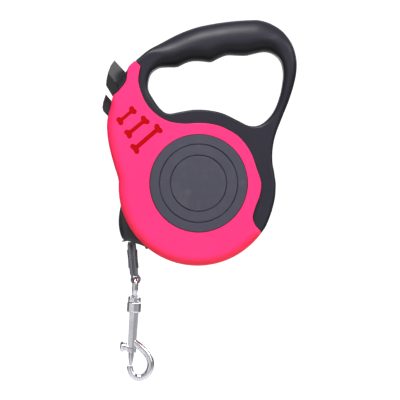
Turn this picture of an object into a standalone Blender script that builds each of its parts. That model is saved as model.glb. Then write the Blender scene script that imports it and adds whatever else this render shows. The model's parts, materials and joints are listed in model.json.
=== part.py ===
"""Retractable leash: round reel housing with a D-shaped handle, pink covers and a swivel snap.

Lengths below are millimetres and are scaled to metres when a mesh is made. The housing is drawn
round the reel's axis: x to the right, z up, y through the thickness with the front at -y. The
object's own origin is in the middle of the grip, where a hand holds it, and one empty carries the
reel axis to its place below the grip.
"""
import math

import bpy
import bmesh
from mathutils import Matrix, Vector

# ---------------------------------------------------------------- driving dimensions
MM = 0.001
REEL_AT = (-17.0, 0.0, -93.0)   # reel axis, seen from the middle of the grip
SPLIT = 0.15                    # half the parting gap between the two housing halves
TOUCH = 0.3                     # gap between pieces that touch

SHELL_FACE = 13.0               # outer face of a shell from the mid-plane
SHELL_FLOOR = 10.9              # inner face of a shell
COVER_FACE = 15.0               # outer face of a pink cover
COVER_SKIN = 2.0                # thickness of a cover's skirt
COVER_ROLL = 7.0                # radius of a cover's rolled rim
COVER_INNER_ROLL = 3.2          # the same roll inside the cover
BODY_AT = (-0.8, -2.4)          # centre of the housing's round lower edge
BODY_R = 50.9                   # its radius
BODY_SPAN = (176.0, 324.0)      # its start and end, in degrees
BODY_STEPS = 16
OUTSIDE = 20.0                  # a height beyond every face, for cutters that pass right through
PAST = 1.0                      # how far a cutter goes past the mid-plane
CHAMBER_R = 45.0                # reel chamber in the shells

DISC_R = 31.5                   # round plate over the reel
DISC_PROUD = 0.4
GROOVE_RADII = (18.1, 25.2)     # rings engraved in the round plate
GROOVE_WIDTH, GROOVE_DEPTH = 0.6, 0.4

ARBOR_R = 3.0                   # fixed axle of the reel
HUB_R, HUB_BORE = 22.0, 20.3    # spring drum and its inside
TAPE_THICK, TAPE_WIDE = 0.7, 12.0
COIL_R = 40.0                   # full coil of tape
FLANGE_R, TOOTH_R = 41.2, 43.8  # flange edge and tips of the ratchet teeth
FLANGE_THICK = 1.5
TEETH = 24

SLIDE = Vector((0.62, 0.0, -0.785)).normalized()   # both buttons travel towards the reel
BRAKE_TRAVEL, LOCK_TRAVEL = 4.0, 3.0

EXIT_AT = (-43.7, -38.3)        # where the tape leaves the nozzle
HINGE_AT = (-40.9, -62.3)       # eye's top bar, inside the strap's loop
SNAP_LEAN = math.radians(3.4)   # lean of the hanging snap


# ---------------------------------------------------------------- small tools
def clear():
    for block in list(bpy.data.objects):
        bpy.data.objects.remove(block, do_unlink=True)


def spline(points, per=3, closed=True):
    """Catmull-Rom curve through the points, per steps between neighbours."""
    n, out = len(points), []
    for i in range(n if closed else n - 1):
        a, b, c, d = (points[(i + k) % n if closed else min(max(i + k, 0), n - 1)]
                      for k in (-1, 0, 1, 2))
        for s in range(per):
            t = s / per
            out.append(tuple(0.5 * (2 * q + (r - p) * t + (2 * p - 5 * q + 4 * r - w) * t * t
                             + (3 * q - p - 3 * r + w) * t ** 3)
                             for p, q, r, w in zip(a, b, c, d)))
    if not closed:
        out.append(tuple(points[-1]))
    return out


def arc(centre, radius, start, end, steps):
    """Points on a circle in x and z, angles in degrees."""
    return [(centre[0] + radius * math.cos(math.radians(start + (end - start) * i / steps)),
             centre[1] + radius * math.sin(math.radians(start + (end - start) * i / steps)))
            for i in range(steps + 1)]


def area(loop):
    return 0.5 * sum(p[0] * q[1] - q[0] * p[1] for p, q in zip(loop, loop[1:] + loop[:1]))


def inset(loop, by):
    """Closed loop moved inwards by a distance, or by one distance for each point."""
    sign, n, out = (1 if area(loop) > 0 else -1), len(loop), []
    for i, p in enumerate(loop):
        a, b = loop[i - 1], loop[(i + 1) % n]
        before = Vector((p[0] - a[0], p[1] - a[1])).normalized()
        after = Vector((b[0] - p[0], b[1] - p[1])).normalized()
        mean = before + after
        mean = mean.normalized() if mean.length > 1e-6 else before
        normal = Vector((-mean.y, mean.x)) * sign
        grow = 1 / max(0.5, abs(normal.dot(Vector((-after.y, after.x)))))
        step = by[i] if isinstance(by, (list, tuple)) else by
        out.append((p[0] + normal.x * step * grow, p[1] + normal.y * step * grow))
    return out


def material(name, colour, rough, metal):
    mat = bpy.data.materials.new(name)
    mat.use_nodes = True
    shader = mat.node_tree.nodes["Principled BSDF"]
    shader.inputs["Base Color"].default_value = (*colour, PAST)
    shader.inputs["Roughness"].default_value = rough
    shader.inputs["Metallic"].default_value = metal
    return mat


def solid(name, rings, cap=True, wrap=False):
    """Skin over a list of equal rings of 3-D points, closed by caps or back on itself."""
    bm = bmesh.new()
    made = [[bm.verts.new(Vector(p) * MM) for p in ring] for ring in rings]
    n = len(made[0])
    pairs = list(zip(made, made[1:] + ([made[0]] if wrap else [])))
    for low, high in pairs:
        for i in range(n):
            bm.faces.new((low[i], low[(i + 1) % n], high[(i + 1) % n], high[i]))
    if cap and not wrap:
        bm.faces.new(made[0])
        bm.faces.new(made[-1])
    bmesh.ops.recalc_face_normals(bm, faces=bm.faces)
    mesh = bpy.data.meshes.new(name)
    bm.to_mesh(mesh)
    bm.free()
    obj = bpy.data.objects.new(name, mesh)
    bpy.context.scene.collection.objects.link(obj)
    return obj


def prism(name, outline, y0, y1):
    return solid(name, [[(x, y, z) for x, z in outline] for y in (y0, y1)])


def turned(name, profile, sides=32, at=(0.0, 0.0, 0.0)):
    """Ring round the y axis from a closed profile of (radius, y) points."""
    rings = []
    for i in range(sides):
        c, s = (f(2 * math.pi * i / sides) for f in (math.cos, math.sin))
        rings.append([(r * c, h, r * s) for r, h in profile])
    obj = solid(name, rings, wrap=True)
    obj.data.transform(Matrix.Translation(Vector(at) * MM))
    return obj


def rod(name, radius, y0, y1, at=(0.0, 0.0), sides=24, axis="Y", chamfer=0.0):
    """Solid cylinder between two heights, with an optional chamfer at both ends."""
    steps = [(radius - chamfer, y0), (radius, y0 + chamfer), (radius, y1 - chamfer),
             (radius - chamfer, y1)] if chamfer else [(radius, y0), (radius, y1)]
    rings = []
    for r, h in steps:
        ring = []
        for i in range(sides):
            c, s = (r * f(2 * math.pi * i / sides) for f in (math.cos, math.sin))
            ring.append({"Y": (at[0] + c, h, at[1] + s), "Z": (at[0] + c, at[1] + s, h),
                         "X": (h, at[0] + c, at[1] + s)}[axis])
        rings.append(ring)
    return solid(name, rings)


def tube(name, path, radii, sides=10):
    """Round bar along a path that stays in one x-z plane, with a radius at each point."""
    rings = []
    for i, p in enumerate(path):
        a, b = path[max(i - 1, 0)], path[min(i + 1, len(path) - 1)]
        along = Vector((b[0] - a[0], 0.0, b[1] - a[1])).normalized()
        side, r = Vector((-along.z, 0.0, along.x)), radii[i]
        rings.append([Vector((p[0], 0.0, p[1])) + side * (r * math.cos(2 * math.pi * k / sides))
                      + Vector((0, 1, 0)) * (r * math.sin(2 * math.pi * k / sides))
                      for k in range(sides)])
    return solid(name, rings)


def combine(obj, other, operation):
    """Exact boolean of obj with another solid, which is used up."""
    other.hide_render, other.display_type = True, "WIRE"
    mod = obj.modifiers.new("shape", "BOOLEAN")
    mod.operation, mod.solver, mod.object = operation, "EXACT", other
    graph = bpy.context.evaluated_depsgraph_get()
    mesh = bpy.data.meshes.new_from_object(obj.evaluated_get(graph))
    obj.modifiers.clear()
    obj.data = mesh
    bpy.data.objects.remove(other, do_unlink=True)
    return obj


def cut(obj, *others):
    for other in others:
        combine(obj, other, "DIFFERENCE")
    return obj


def join(obj, *others):
    for other in others:
        combine(obj, other, "UNION")
    return obj


def mirrored(obj, name):
    """Copy of a front piece for the rear, mirrored through the mid-plane."""
    twin = bpy.data.objects.new(name, obj.data.copy())
    bpy.context.scene.collection.objects.link(twin)
    twin.data.transform(Matrix.Diagonal((1, -1, 1, 1)))
    twin.data.flip_normals()
    return twin


def finish(obj, mat, parent, at=(0.0, 0.0, 0.0), sharp=35.0):
    """Give a piece its material, its own origin and its parent."""
    obj.data.materials.clear()
    obj.data.materials.append(mat)
    obj.data.transform(Matrix.Translation(-Vector(at) * MM))
    obj.location = Vector(at) * MM
    obj.parent = parent
    obj.data.shade_smooth()
    obj.data.set_sharp_from_angle(angle=math.radians(sharp))
    return obj


def empty(name, at, parent=None, lean=0.0):
    holder = bpy.data.objects.new(name, None)
    bpy.context.scene.collection.objects.link(holder)
    holder.location = Vector(at) * MM
    holder.rotation_euler = (0.0, lean, 0.0)
    holder.parent = parent
    return holder


# ---------------------------------------------------------------- outlines of the housing
# left edge of the cover, from its tip at the handle down to where the round lower edge starts
LEFT_EDGE = [(-41.0, 79.0), (-45.3, 74.8), (-45.9, 70.0), (-46.9, 65.4), (-51.3, 59.6),
             (-55.2, 56.0), (-56.7, 49.5), (-58.8, 42.0), (-59.2, 35.0), (-58.0, 25.0),
             (-55.3, 14.0), (-52.3, 4.5)]
# cover's inner boundary, from the lower right round the plate and up to the tip
INNER_EDGE = [(40.0, -30.8), (36.4, -27.0), (34.8, -22.0), (36.4, -15.6), (39.2, -8.0),
              (40.2, 0.0), (37.4, 9.2), (33.6, 19.6), (27.2, 28.6), (20.2, 33.7), (12.0, 37.2),
              (2.0, 38.7), (-10.0, 38.3), (-19.5, 39.9), (-27.5, 44.5), (-33.8, 51.4),
              (-37.6, 60.0), (-38.9, 67.5), (-37.2, 76.2)]
# outer edge of the handle, from the cover's tip over the grip and down the rear bar
HANDLE_EDGE = [(-33.0, 85.6), (-25.1, 90.4), (-13.5, 96.7), (-1.9, 101.1), (9.8, 103.6),
               (21.3, 105.2), (33.0, 106.0), (40.0, 105.8), (47.5, 103.3), (54.5, 98.4),
               (60.2, 90.5), (63.0, 82.0), (63.4, 74.0), (62.0, 65.2), (58.6, 54.0),
               (53.8, 42.0), (49.8, 31.5), (47.9, 22.5), (47.7, 14.0), (48.8, 7.5)]
# finger gap, from its left end along the finger waves, down the rear bar and back
GAP_TOP = [(-31.5, 70.4), (-26.5, 74.7), (-20.5, 75.4), (-14.0, 75.6), (-8.5, 78.1), (-3.5, 79.4),
           (3.0, 79.2), (8.0, 78.8), (13.5, 81.4), (18.5, 83.2), (25.0, 83.0), (31.0, 83.0),
           (37.5, 84.5), (43.0, 85.3), (48.5, 83.9), (53.0, 79.8), (54.9, 73.0), (54.6, 66.0)]
GAP_LOW = [(52.7, 56.5), (49.0, 47.2), (43.5, 40.4), (38.0, 37.2), (32.0, 37.3), (25.0, 40.7),
           (15.5, 45.2), (6.0, 47.2), (-3.0, 47.5), (-11.5, 46.2), (-19.5, 45.0), (-24.5, 47.9),
           (-29.5, 54.8), (-32.9, 62.0)]
GRIP_ROLL, BAR_ROLL, BODY_ROLL = 7.5, 2.6, 1.4   # edge radii of grip, rear bar and body
NOZZLE_EDGE = [(-50.2, -13.5), (-51.4, -19.5), (-51.9, -26.0), (-50.9, -32.4), (-48.6, -36.6),
               (-44.0, -38.2), (-38.0, -39.7), (-33.6, -41.6)]
# centres of the three bones' lobes: upper pair, lower pair, and half the width of the bar
BONES = [((-43.1, 48.0), (-41.5, 46.1), (-51.4, 41.0), (-50.1, 38.9), PAST),
         ((-35.6, 41.9), (-33.2, 39.6), (-46.3, 32.9), (-44.5, 30.4), 1.15),
         ((-26.9, 36.7), (-24.8, 33.8), (-42.4, 23.7), (-39.8, 20.5), 1.3)]
BONE_LOBE = 1.55


def rim_weight(z):
    """Share of the full rim roll at a height: none at the tip, all of it below."""
    return min(1.0, max(0.0, (66.0 - z) / 22.0))


def cover_outline():
    """Closed outline of a cover, with a weight of 1 where its rim rolls over."""
    left = spline(LEFT_EDGE, 2, closed=False)
    low = arc(BODY_AT, BODY_R, *BODY_SPAN, BODY_STEPS)
    inner = spline(INNER_EDGE, 2, closed=False)[1:-1]
    loop = left + low + inner
    rim = [max(0.06, rim_weight(z)) for _, z in left + low[:-1]]
    return loop, rim + [0.35] + [0.06] * len(inner)


RIM_POINTS = 2 * len(LEFT_EDGE) + BODY_STEPS      # points of the cover's outline along its rim
OPEN_SIDE = 4.0                                   # how far a skirt cutter passes the inner edge
TIP_SOLID = 71.0                                  # above this height the tip is solid
TIP_DROP = 10.0                                   # how much lower that starts for a thicker skirt


def skirt_inside(depth):
    """Space inside a cover's skirt: stepped in along the rim, open along the inner edge."""
    loop, _ = cover_outline()
    stepped = inset(loop, [depth] * RIM_POINTS + [-OPEN_SIDE] * (len(loop) - RIM_POINTS))
    top = TIP_SOLID - TIP_DROP * (depth - COVER_SKIN)
    return [p for p in stepped if p[1] < top]


def silhouette():
    """Whole outline of the housing with the handle, and the edge radius at each point."""
    rim = cover_outline()[0][1:RIM_POINTS]
    over = spline([(-40.6, 79.2)] + HANDLE_EDGE, 2, closed=False)
    roll = [GRIP_ROLL if z > 88 and x < 56 else BODY_ROLL + 1.2 if z < 34 else
            BAR_ROLL + 3.4 * max(0.0, (z - 75) / 15) for x, z in over]
    right = [(43.6, -27.5), (47.1, -18.6), (49.4, -9.0), (49.9, 0.0)]
    return (ledge_line(over + right[::-1] + rim[::-1]),
            roll + [BODY_ROLL + 1.2] * len(right) + [0.3] * len(rim))


def gap_outline():
    loop = GAP_TOP + GAP_LOW
    return loop, [GRIP_ROLL if z > 74.5 and x < 50 else BODY_ROLL if x < 30 else BAR_ROLL
                  for x, z in loop]


def smoothed(values, times=3):
    for _ in range(times):
        values = [(a + 2 * b + c) / 4
                  for a, b, c in zip(values[-1:] + values[:-1], values, values[1:] + values[:1])]
    return values


def rolled(name, loop, radii, y0, face, steps=3):
    """Plate from y0 to the face at -face, whose edge rolls in by a radius at each point."""
    rings = [[(x, y0, z) for x, z in loop]]
    for k in range(steps + 1):
        turn = 0.5 * math.pi * k / steps
        moved = inset(loop, [r * (1 - math.cos(turn)) for r in radii])
        rings.append([(x, -face + r * (1 - math.sin(turn)), z)
                      for (x, z), r in zip(moved, radii)])
    return solid(name, rings)


# ---------------------------------------------------------------- buttons: outlines and travel
BRAKE_HEAD = [(-54.6, 79.8), (-47.7, 72.4), (-44.5, 66.5), (-50.5, 55.5), (-56.0, 56.6),
              (-60.1, 63.6), (-59.8, 66.8), (-58.7, 71.5), (-57.1, 76.0)]
LOCK_HEAD = [(-60.2, 57.8), (-56.3, 53.3), (-52.0, 47.0), (-54.5, 43.5), (-58.9, 43.6),
             (-61.9, 46.8), (-62.5, 49.3), (-61.7, 53.4)]
BRAKE_HALF, LOCK_HALF = 7.5, 4.5          # half widths of the button heads
BRAKE_RIDGE = ((-58.1, 71.1), (-52.1, 62.2))    # ridge between the two cheeks of a button
LOCK_RIDGE = ((-61.4, 52.7), (-57.7, 47.3))
CHEEK_LONG, CHEEK_WIDE, CHEEK_DEEP = 20.0, 14.0, 9.0   # reach and slope of the lower cheek
LEDGE = ((-45.4, 74.6), (-55.6, 56.2))    # shell's ledge beside the brake button
STEM_Y = (-8.4, -4.0)                     # stems run beside the tape, in the ratchet's plane
PITCH = 360.0 / TEETH
BRAKE_ANGLE = math.degrees(math.atan2(-SLIDE.z, -SLIDE.x))   # brake tooth, seen from the reel
LOCK_ANGLE = BRAKE_ANGLE + PITCH


def polar(r, degrees):
    return (r * math.cos(math.radians(degrees)), r * math.sin(math.radians(degrees)))


def swept(outline, travel):
    """Outline of the space a piece needs while it slides in by its travel."""
    pts = list(outline) + [(x + SLIDE.x * travel, z + SLIDE.z * travel) for x, z in outline]
    pts = sorted(set(pts))
    hull = []
    for seq in (pts, pts[::-1]):
        part = []
        for p in seq:
            while len(part) > 1 and ((part[-1][0] - part[-2][0]) * (p[1] - part[-2][1])
                                     - (part[-1][1] - part[-2][1]) * (p[0] - part[-2][0])) <= 0:
                part.pop()
            part.append(p)
        hull += part[:-1]
    return inset(hull, -TOUCH)


def strip(a, b, half):
    """Straight strip between two points."""
    along = Vector((b[0] - a[0], b[1] - a[1])).normalized() * half
    return [(a[0] - along.y, a[1] + along.x), (b[0] - along.y, b[1] + along.x),
            (b[0] + along.y, b[1] - along.x), (a[0] + along.y, a[1] - along.x)]


BRAKE_TIP = polar(45.4, BRAKE_ANGLE)
LOCK_TIP = polar(45.0, LOCK_ANGLE)
BRAKE_STEM = strip((-52.0, 65.9), BRAKE_TIP, 1.5)
LOCK_ARM = strip((-54.3, 47.0), (LOCK_TIP[0] - SLIDE.x * 12, LOCK_TIP[1] - SLIDE.z * 12 - 1.5), 1.8)
LOCK_STEM = strip((LOCK_TIP[0] - SLIDE.x * 13, LOCK_TIP[1] - SLIDE.z * 13), LOCK_TIP, 1.3)
SPRING_AT = (-48.0, 60.8)                 # brake spring's head end, its axis along the slide
SPRING_R, SPRING_WIRE, SPRING_LONG = 2.2, 0.3, 9.0
SPRING_Y = 2.0


LEDGE_BLOCK = [LEDGE[0], LEDGE[1], (-51.0, 53.4), (-41.5, 70.5)]


def detent_outline():
    """Bowed leaf spring that bears on the side of the lock's stem."""
    mid = Vector((LOCK_TIP[0] - SLIDE.x * 5.8, LOCK_TIP[1] - SLIDE.z * 5.8))
    along, side = Vector((SLIDE.x, SLIDE.z)), Vector((SLIDE.z, -SLIDE.x))
    rows = [(t, 1.75 + 0.5 * abs(t) / 3) for t in (-3.0, -1.5, 0.0, 1.5, 3.0)]
    return [tuple(mid + along * t + side * (off + extra))
            for extra, part in ((0.0, rows), (0.3, rows[::-1])) for t, off in part]


def under_cover(name, depth, face):
    """Block that fills a cover's hollow, its rim rolled like the cover's own."""
    loop = skirt_inside(depth)
    over = len([p for p in cover_outline()[0] if p[1] >= loop[0][1]]) // 2
    rim = RIM_POINTS - over
    radii = smoothed([COVER_INNER_ROLL] * rim + [0.0] * (len(loop) - rim), 2)
    return rolled(name, loop, [0.05 + r * rim_weight(z) for (_, z), r in zip(loop, radii)],
                  2 * PAST, face)


def ledge_line(loop):
    """Outline brought out to the ledge beside the brake button."""
    (x0, z0), (x1, z1) = LEDGE
    return [(x0 + (x1 - x0) * (z0 - z) / (z0 - z1), z) if z1 + 0.8 < z < z0 - 0.8 and x < -42
            else (x, z) for x, z in loop]


# ---------------------------------------------------------------- housing
SCREWS = {"grip_front": (-39.2, 60.2), "grip_middle": (-8.0, 89.5), "grip_rear": (50.5, 91.5),
          "bar_foot": (43.8, 30.8), "body_low": (0.0, -46.8), "body_left": (-48.2, 12.0)}
SHANK_R, HEAD_R, HEAD_THICK = 1.2, 2.6, 1.6
SCREW_SEAT, SCREW_TIP = 11.0, -7.5       # floor of the rear shell's screw wells, and the tips
GRIP_HOLLOW = [(-1.0, 86.5), (8.0, 86.0), (16.0, 89.5), (30.0, 89.8), (42.0, 91.0), (43.0, 96.0),
               (33.0, 99.5), (20.0, 98.5), (6.0, 95.5), (-1.5, 92.0)]
TAPE_CHANNEL = [(-46.0, 8.0), (-38.0, 8.0), (-40.0, -42.5), (-47.2, -42.5)]
ROLLER_AT, ROLLER_R, PIN_R = (-39.6, -33.2), 2.5, 1.0
NOZZLE_HALF, NOZZLE_DEEP = 9.0, 4.9      # half width, and depth of its foot inside the rim


def nozzle_outline(grow=0.0):
    outer = spline(NOZZLE_EDGE, 2, closed=False)
    return inset(outer + [(-30.5, -38.0), (-44.0, -14.0)], -grow)


def shell_blank(name):
    loop, radii = silhouette()
    body = rolled(name, loop, smoothed(radii, 4), -SPLIT, SHELL_FACE)
    skirt = prism("skirt", inset(cover_outline()[0], -TOUCH), -COVER_FACE, PAST)
    cut(skirt, under_cover("inside", COVER_SKIN + TOUCH, SHELL_FACE + 0.02),
        prism("ledge", LEDGE_BLOCK, -OUTSIDE, 2 * PAST))
    cut(body, skirt)
    hole, rolls = gap_outline()
    rings = [[(x, 1.0, z) for x, z in hole]]
    rolls = smoothed(rolls, 5)
    for k in range(4):
        turn = 0.5 * math.pi * k / 3
        rings.append([(x, -SHELL_FACE + r * (1 - math.sin(turn)), z) for (x, z), r in
                      zip(inset(hole, [-r * (1 - math.cos(turn)) for r in rolls]), rolls)])
    rings.append([(x, -SHELL_FACE - 1, z) for x, _, z in rings[-1]])
    cut(body, solid("gap_cut", rings))
    cut(body, rod("chamber", CHAMBER_R, -SHELL_FLOOR, PAST, sides=36),
        prism("hollow", spline(GRIP_HOLLOW, 2), -9.0, PAST),
        prism("channel", TAPE_CHANNEL, -7.0, PAST),
        prism("slot", swept(BRAKE_HEAD, BRAKE_TRAVEL), -BRAKE_HALF - TOUCH, PAST),
        prism("lock_slot", swept(LOCK_HEAD, LOCK_TRAVEL), -LOCK_HALF - TOUCH, PAST),
        prism("stem_path", swept(BRAKE_STEM, BRAKE_TRAVEL), STEM_Y[0] - TOUCH, PAST),
        prism("arm_path", swept(LOCK_ARM, LOCK_TRAVEL), STEM_Y[0] - TOUCH, PAST),
        prism("lock_path", swept(LOCK_STEM, LOCK_TRAVEL), STEM_Y[0] - TOUCH, PAST),
        prism("leaf_bay", inset(detent_outline(), -0.5), STEM_Y[0], PAST))
    join(body, rod("boss", 6.0, -SHELL_FLOOR - 0.5, -9.4, sides=24))
    cut(body, rod("seat", ARBOR_R + TOUCH, -12.2, PAST, sides=24))
    nozzle_seat = prism("nozzle_seat", nozzle_outline(TOUCH), -NOZZLE_HALF - TOUCH, PAST)
    keep = prism("keep", skirt_inside(NOZZLE_DEEP), -OUTSIDE, 2 * PAST)
    cut(body, cut(nozzle_seat, keep))
    spring_path = strip(SPRING_AT, (SPRING_AT[0] + SLIDE.x * (SPRING_LONG + TOUCH),
                                    SPRING_AT[1] + SLIDE.z * (SPRING_LONG + TOUCH)),
                        SPRING_R + SPRING_WIRE + 0.5)
    return cut(body, prism("spring_bay", spring_path, -5.0, PAST))


def shells(mat, home):
    front = shell_blank("front_shell")
    rear = mirrored(front, "rear_shell")
    for x, z in SCREWS.values():
        cut(front, rod("pilot", SHANK_R + TOUCH, -8.0, PAST, (x, z), 12))
        cut(rear, rod("clear", SHANK_R + TOUCH, -PAST, OUTSIDE, (x, z), 12),
            rod("sink", HEAD_R + TOUCH, SCREW_SEAT, OUTSIDE, (x, z), 16))
    cut(rear, rod("arbor_hole", SHANK_R + TOUCH, SCREW_SEAT, OUTSIDE, sides=12))
    finish(front, mat, home)
    finish(rear, mat, home)


def bone(upper, upper2, lower, lower2, half, grow=0.0):
    """Closed outline of one bone from its four lobe centres, or of the window round it."""
    up, low = (tuple((a + b) / 2 for a, b in zip(p, q)) for p, q in
               ((upper, upper2), (lower, lower2)))
    along = Vector((up[0] - low[0], up[1] - low[1])).normalized()
    side = Vector((along.y, -along.x))
    loop, half, lobe = [], half + grow, BONE_LOBE + grow
    for end, right, left, way in ((up, upper2, upper, 1), (low, lower, lower2, -1)):
        base = math.degrees(math.atan2(along.y * way, along.x * way))
        s = side * way
        loop.append((end[0] + s.x * half - way * along.x * 2.2,
                     end[1] + s.y * half - way * along.y * 2.2))
        loop += arc(right, lobe, base - 135, base + 20, 4)
        notch = way * (1.2 + grow)
        loop.append((end[0] + along.x * notch, end[1] + along.y * notch))
        loop += arc(left, lobe, base - 20, base + 135, 4)
        loop.append((end[0] - s.x * half - way * along.x * 2.2,
                     end[1] - s.y * half - way * along.y * 2.2))
    return loop


INSERT_BACK, INSERT_STEP, BONE_FACE = 13.3, 13.9, 14.8   # carrier plate and bones, from mid-plane
PLATE = [(-44.5, 51.5), (-38.5, 46.5), (-31.5, 45.0), (-25.5, 40.2), (-22.0, 34.5), (-26.0, 29.5),
         (-37.5, 17.5), (-41.5, 17.8), (-46.5, 26.5), (-52.5, 36.5), (-54.0, 41.5), (-49.5, 46.5)]


def covers(mat, red, home):
    loop, weight = cover_outline()
    front = rolled("front_cover", loop, [COVER_ROLL * w for w in smoothed(weight, 2)],
                   -SPLIT, COVER_FACE)
    cut(front, under_cover("core", COVER_SKIN, SHELL_FACE + TOUCH),
        prism("ledge", inset(LEDGE_BLOCK, -TOUCH), -SHELL_FACE - TOUCH, PAST),
        rod("plate_hole", DISC_R + TOUCH, -OUTSIDE, PAST, sides=36),
        prism("nozzle_gap", nozzle_outline(TOUCH), -NOZZLE_HALF - TOUCH, PAST),
        prism("brake_gap", swept(BRAKE_HEAD, BRAKE_TRAVEL), -BRAKE_HALF - TOUCH, PAST),
        prism("lock_gap", swept(LOCK_HEAD, LOCK_TRAVEL), -LOCK_HALF - TOUCH, PAST),
        prism("insert_bay", inset(PLATE, -TOUCH), -INSERT_STEP - TOUCH, PAST))
    insert = prism("front_bone_insert", PLATE, -INSERT_STEP, -INSERT_BACK)
    for lobes in BONES:
        cut(front, prism("window", bone(*lobes, TOUCH), -OUTSIDE, PAST))
        join(insert, prism("raised", bone(*lobes), -BONE_FACE, -INSERT_STEP + 0.2))
    rear = mirrored(front, "rear_cover")
    rear_insert = mirrored(insert, "rear_bone_insert")
    for obj, look in ((front, mat), (rear, mat), (insert, red), (rear_insert, red)):
        finish(obj, look, home)


def discs(mat, home):
    profile = []
    for r in GROOVE_RADII:
        for dr, deep in ((-0.5, 0), (-0.5, 1), (0.5, 1), (0.5, 0)):
            profile.append((r + dr * GROOVE_WIDTH, -COVER_FACE - DISC_PROUD + deep * GROOVE_DEPTH))
    profile += [(DISC_R - 0.4, -COVER_FACE - DISC_PROUD), (DISC_R, -COVER_FACE),
                (DISC_R, -INSERT_BACK)]
    sides, rings = 36, []
    for r, y in profile:
        rings.append([(r * math.cos(2 * math.pi * i / sides), y,
                       r * math.sin(2 * math.pi * i / sides)) for i in range(sides)])
    front = solid("front_disc", rings)
    rear = mirrored(front, "rear_disc")
    cut(rear, rod("screw_room", HEAD_R + 1.4, 10.0, 14.9, sides=16))
    finish(front, mat, home)
    finish(rear, mat, home)


# ---------------------------------------------------------------- nozzle, tape guide, buttons
def nozzle(mat, home):
    """Bulb at the tape's exit: a rounded block with the tape's slot and the roller's room."""
    outline = nozzle_outline()
    bulge = [3.4 if x < -44.6 or z < -35.5 else 0.6 for x, z in outline]
    front = rolled("nozzle", outline, bulge, PAST, NOZZLE_HALF)
    rear = mirrored(front, "rear_half")
    join(front, rear)
    cut(front, prism("core", skirt_inside(NOZZLE_DEEP - TOUCH), -OUTSIDE, OUTSIDE),
        prism("slot", TAPE_SLOT, -7.0, 7.0),
        rod("roller_room", ROLLER_R + 0.5, -7.0, 7.0, ROLLER_AT, 20),
        rod("pin_bore", PIN_R + TOUCH, -8.2, OUTSIDE, ROLLER_AT, 16))
    finish(front, mat, home)


TAPE_SLOT = [(-44.9, -10.0), (-40.6, -10.0), (-40.6, -37.0), (-39.6, -42.5), (-47.4, -42.5),
             (-46.6, -37.0)]


def guide(steel, home):
    roller = turned("guide_roller", [(PIN_R + TOUCH, -6.4), (ROLLER_R, -6.4), (ROLLER_R, 6.4),
                                     (PIN_R + TOUCH, 6.4)], 20, at=(ROLLER_AT[0], 0, ROLLER_AT[1]))
    finish(roller, steel, home, (ROLLER_AT[0], 0.0, ROLLER_AT[1]))
    finish(rod("roller_pin", PIN_R, -7.9, 8.8, ROLLER_AT, 16), steel, home)


def cheek(ridge, half):
    """Cutter that slopes a button's cheek away from its ridge, towards the thumb side."""
    (x0, z0), (x1, z1) = ridge
    along = Vector((x1 - x0, z1 - z0)).normalized() * CHEEK_LONG
    down = Vector((along.y, -along.x)) * (CHEEK_WIDE / CHEEK_LONG)
    mid = Vector(((x0 + x1) / 2, (z0 + z1) / 2))
    rings = []
    for end in (mid - along, mid + along):
        far = end + down
        rings.append([(end.x, -half, end.y), (far.x, CHEEK_DEEP - half, far.y),
                      (far.x, -OUTSIDE, far.y), (end.x, -OUTSIDE, end.y)])
    return solid("cheek", rings)


def button(name, head, half, ridge, parts):
    """Wedge-shaped thumb button with its stem and tooth; parts are flat strips in x and z."""
    body = rolled(name, head, [0.5] * len(head), PAST, half, steps=2)
    cut(body, cheek(ridge, half))
    join(body, mirrored(body, "other_half"))
    for part in parts:
        join(body, prism("strip", part, *STEM_Y))
    return body


def buttons(mat, steel, home):
    brake = button("brake_button", BRAKE_HEAD, BRAKE_HALF, BRAKE_RIDGE, [BRAKE_STEM])
    deep = strip((SPRING_AT[0] - SLIDE.x, SPRING_AT[1] - SLIDE.z),
                 (SPRING_AT[0] + SLIDE.x * 20, SPRING_AT[1] + SLIDE.z * 20), SPRING_R + 0.6)
    cut(brake, prism("spring_cup", deep, SPRING_Y - 3.0, SPRING_Y + 3.0))
    finish(brake, mat, home)
    finish(button("lock_button", LOCK_HEAD, LOCK_HALF, LOCK_RIDGE, [LOCK_ARM, LOCK_STEM]),
           mat, home)
    finish(coil_spring("brake_spring", SPRING_R, SPRING_WIRE, SPRING_LONG, 6,
                       (SPRING_AT[0], SPRING_Y, SPRING_AT[1]), SLIDE), steel, home)
    finish(prism("lock_detent", detent_outline(), -8.0, -4.4), steel, home)


def coil_spring(name, radius, wire, length, turns, at, along, sides=4, steps=8):
    """Round-wire helix that starts at a point and runs along a direction."""
    along = Vector(along).normalized()
    across = along.cross(Vector((0, 1, 0))).normalized()
    up, rings, count = across.cross(along), [], turns * steps
    for i in range(count + 1):
        turn = 2 * math.pi * i / steps
        out = across * math.cos(turn) + up * math.sin(turn)
        mid = Vector(at) + along * (wire + (length - 2 * wire) * i / count) + out * radius
        rings.append([mid + out * (wire * math.cos(2 * math.pi * k / sides))
                      + along * (wire * math.sin(2 * math.pi * k / sides)) for k in range(sides)])
    return solid(name, rings)


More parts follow.
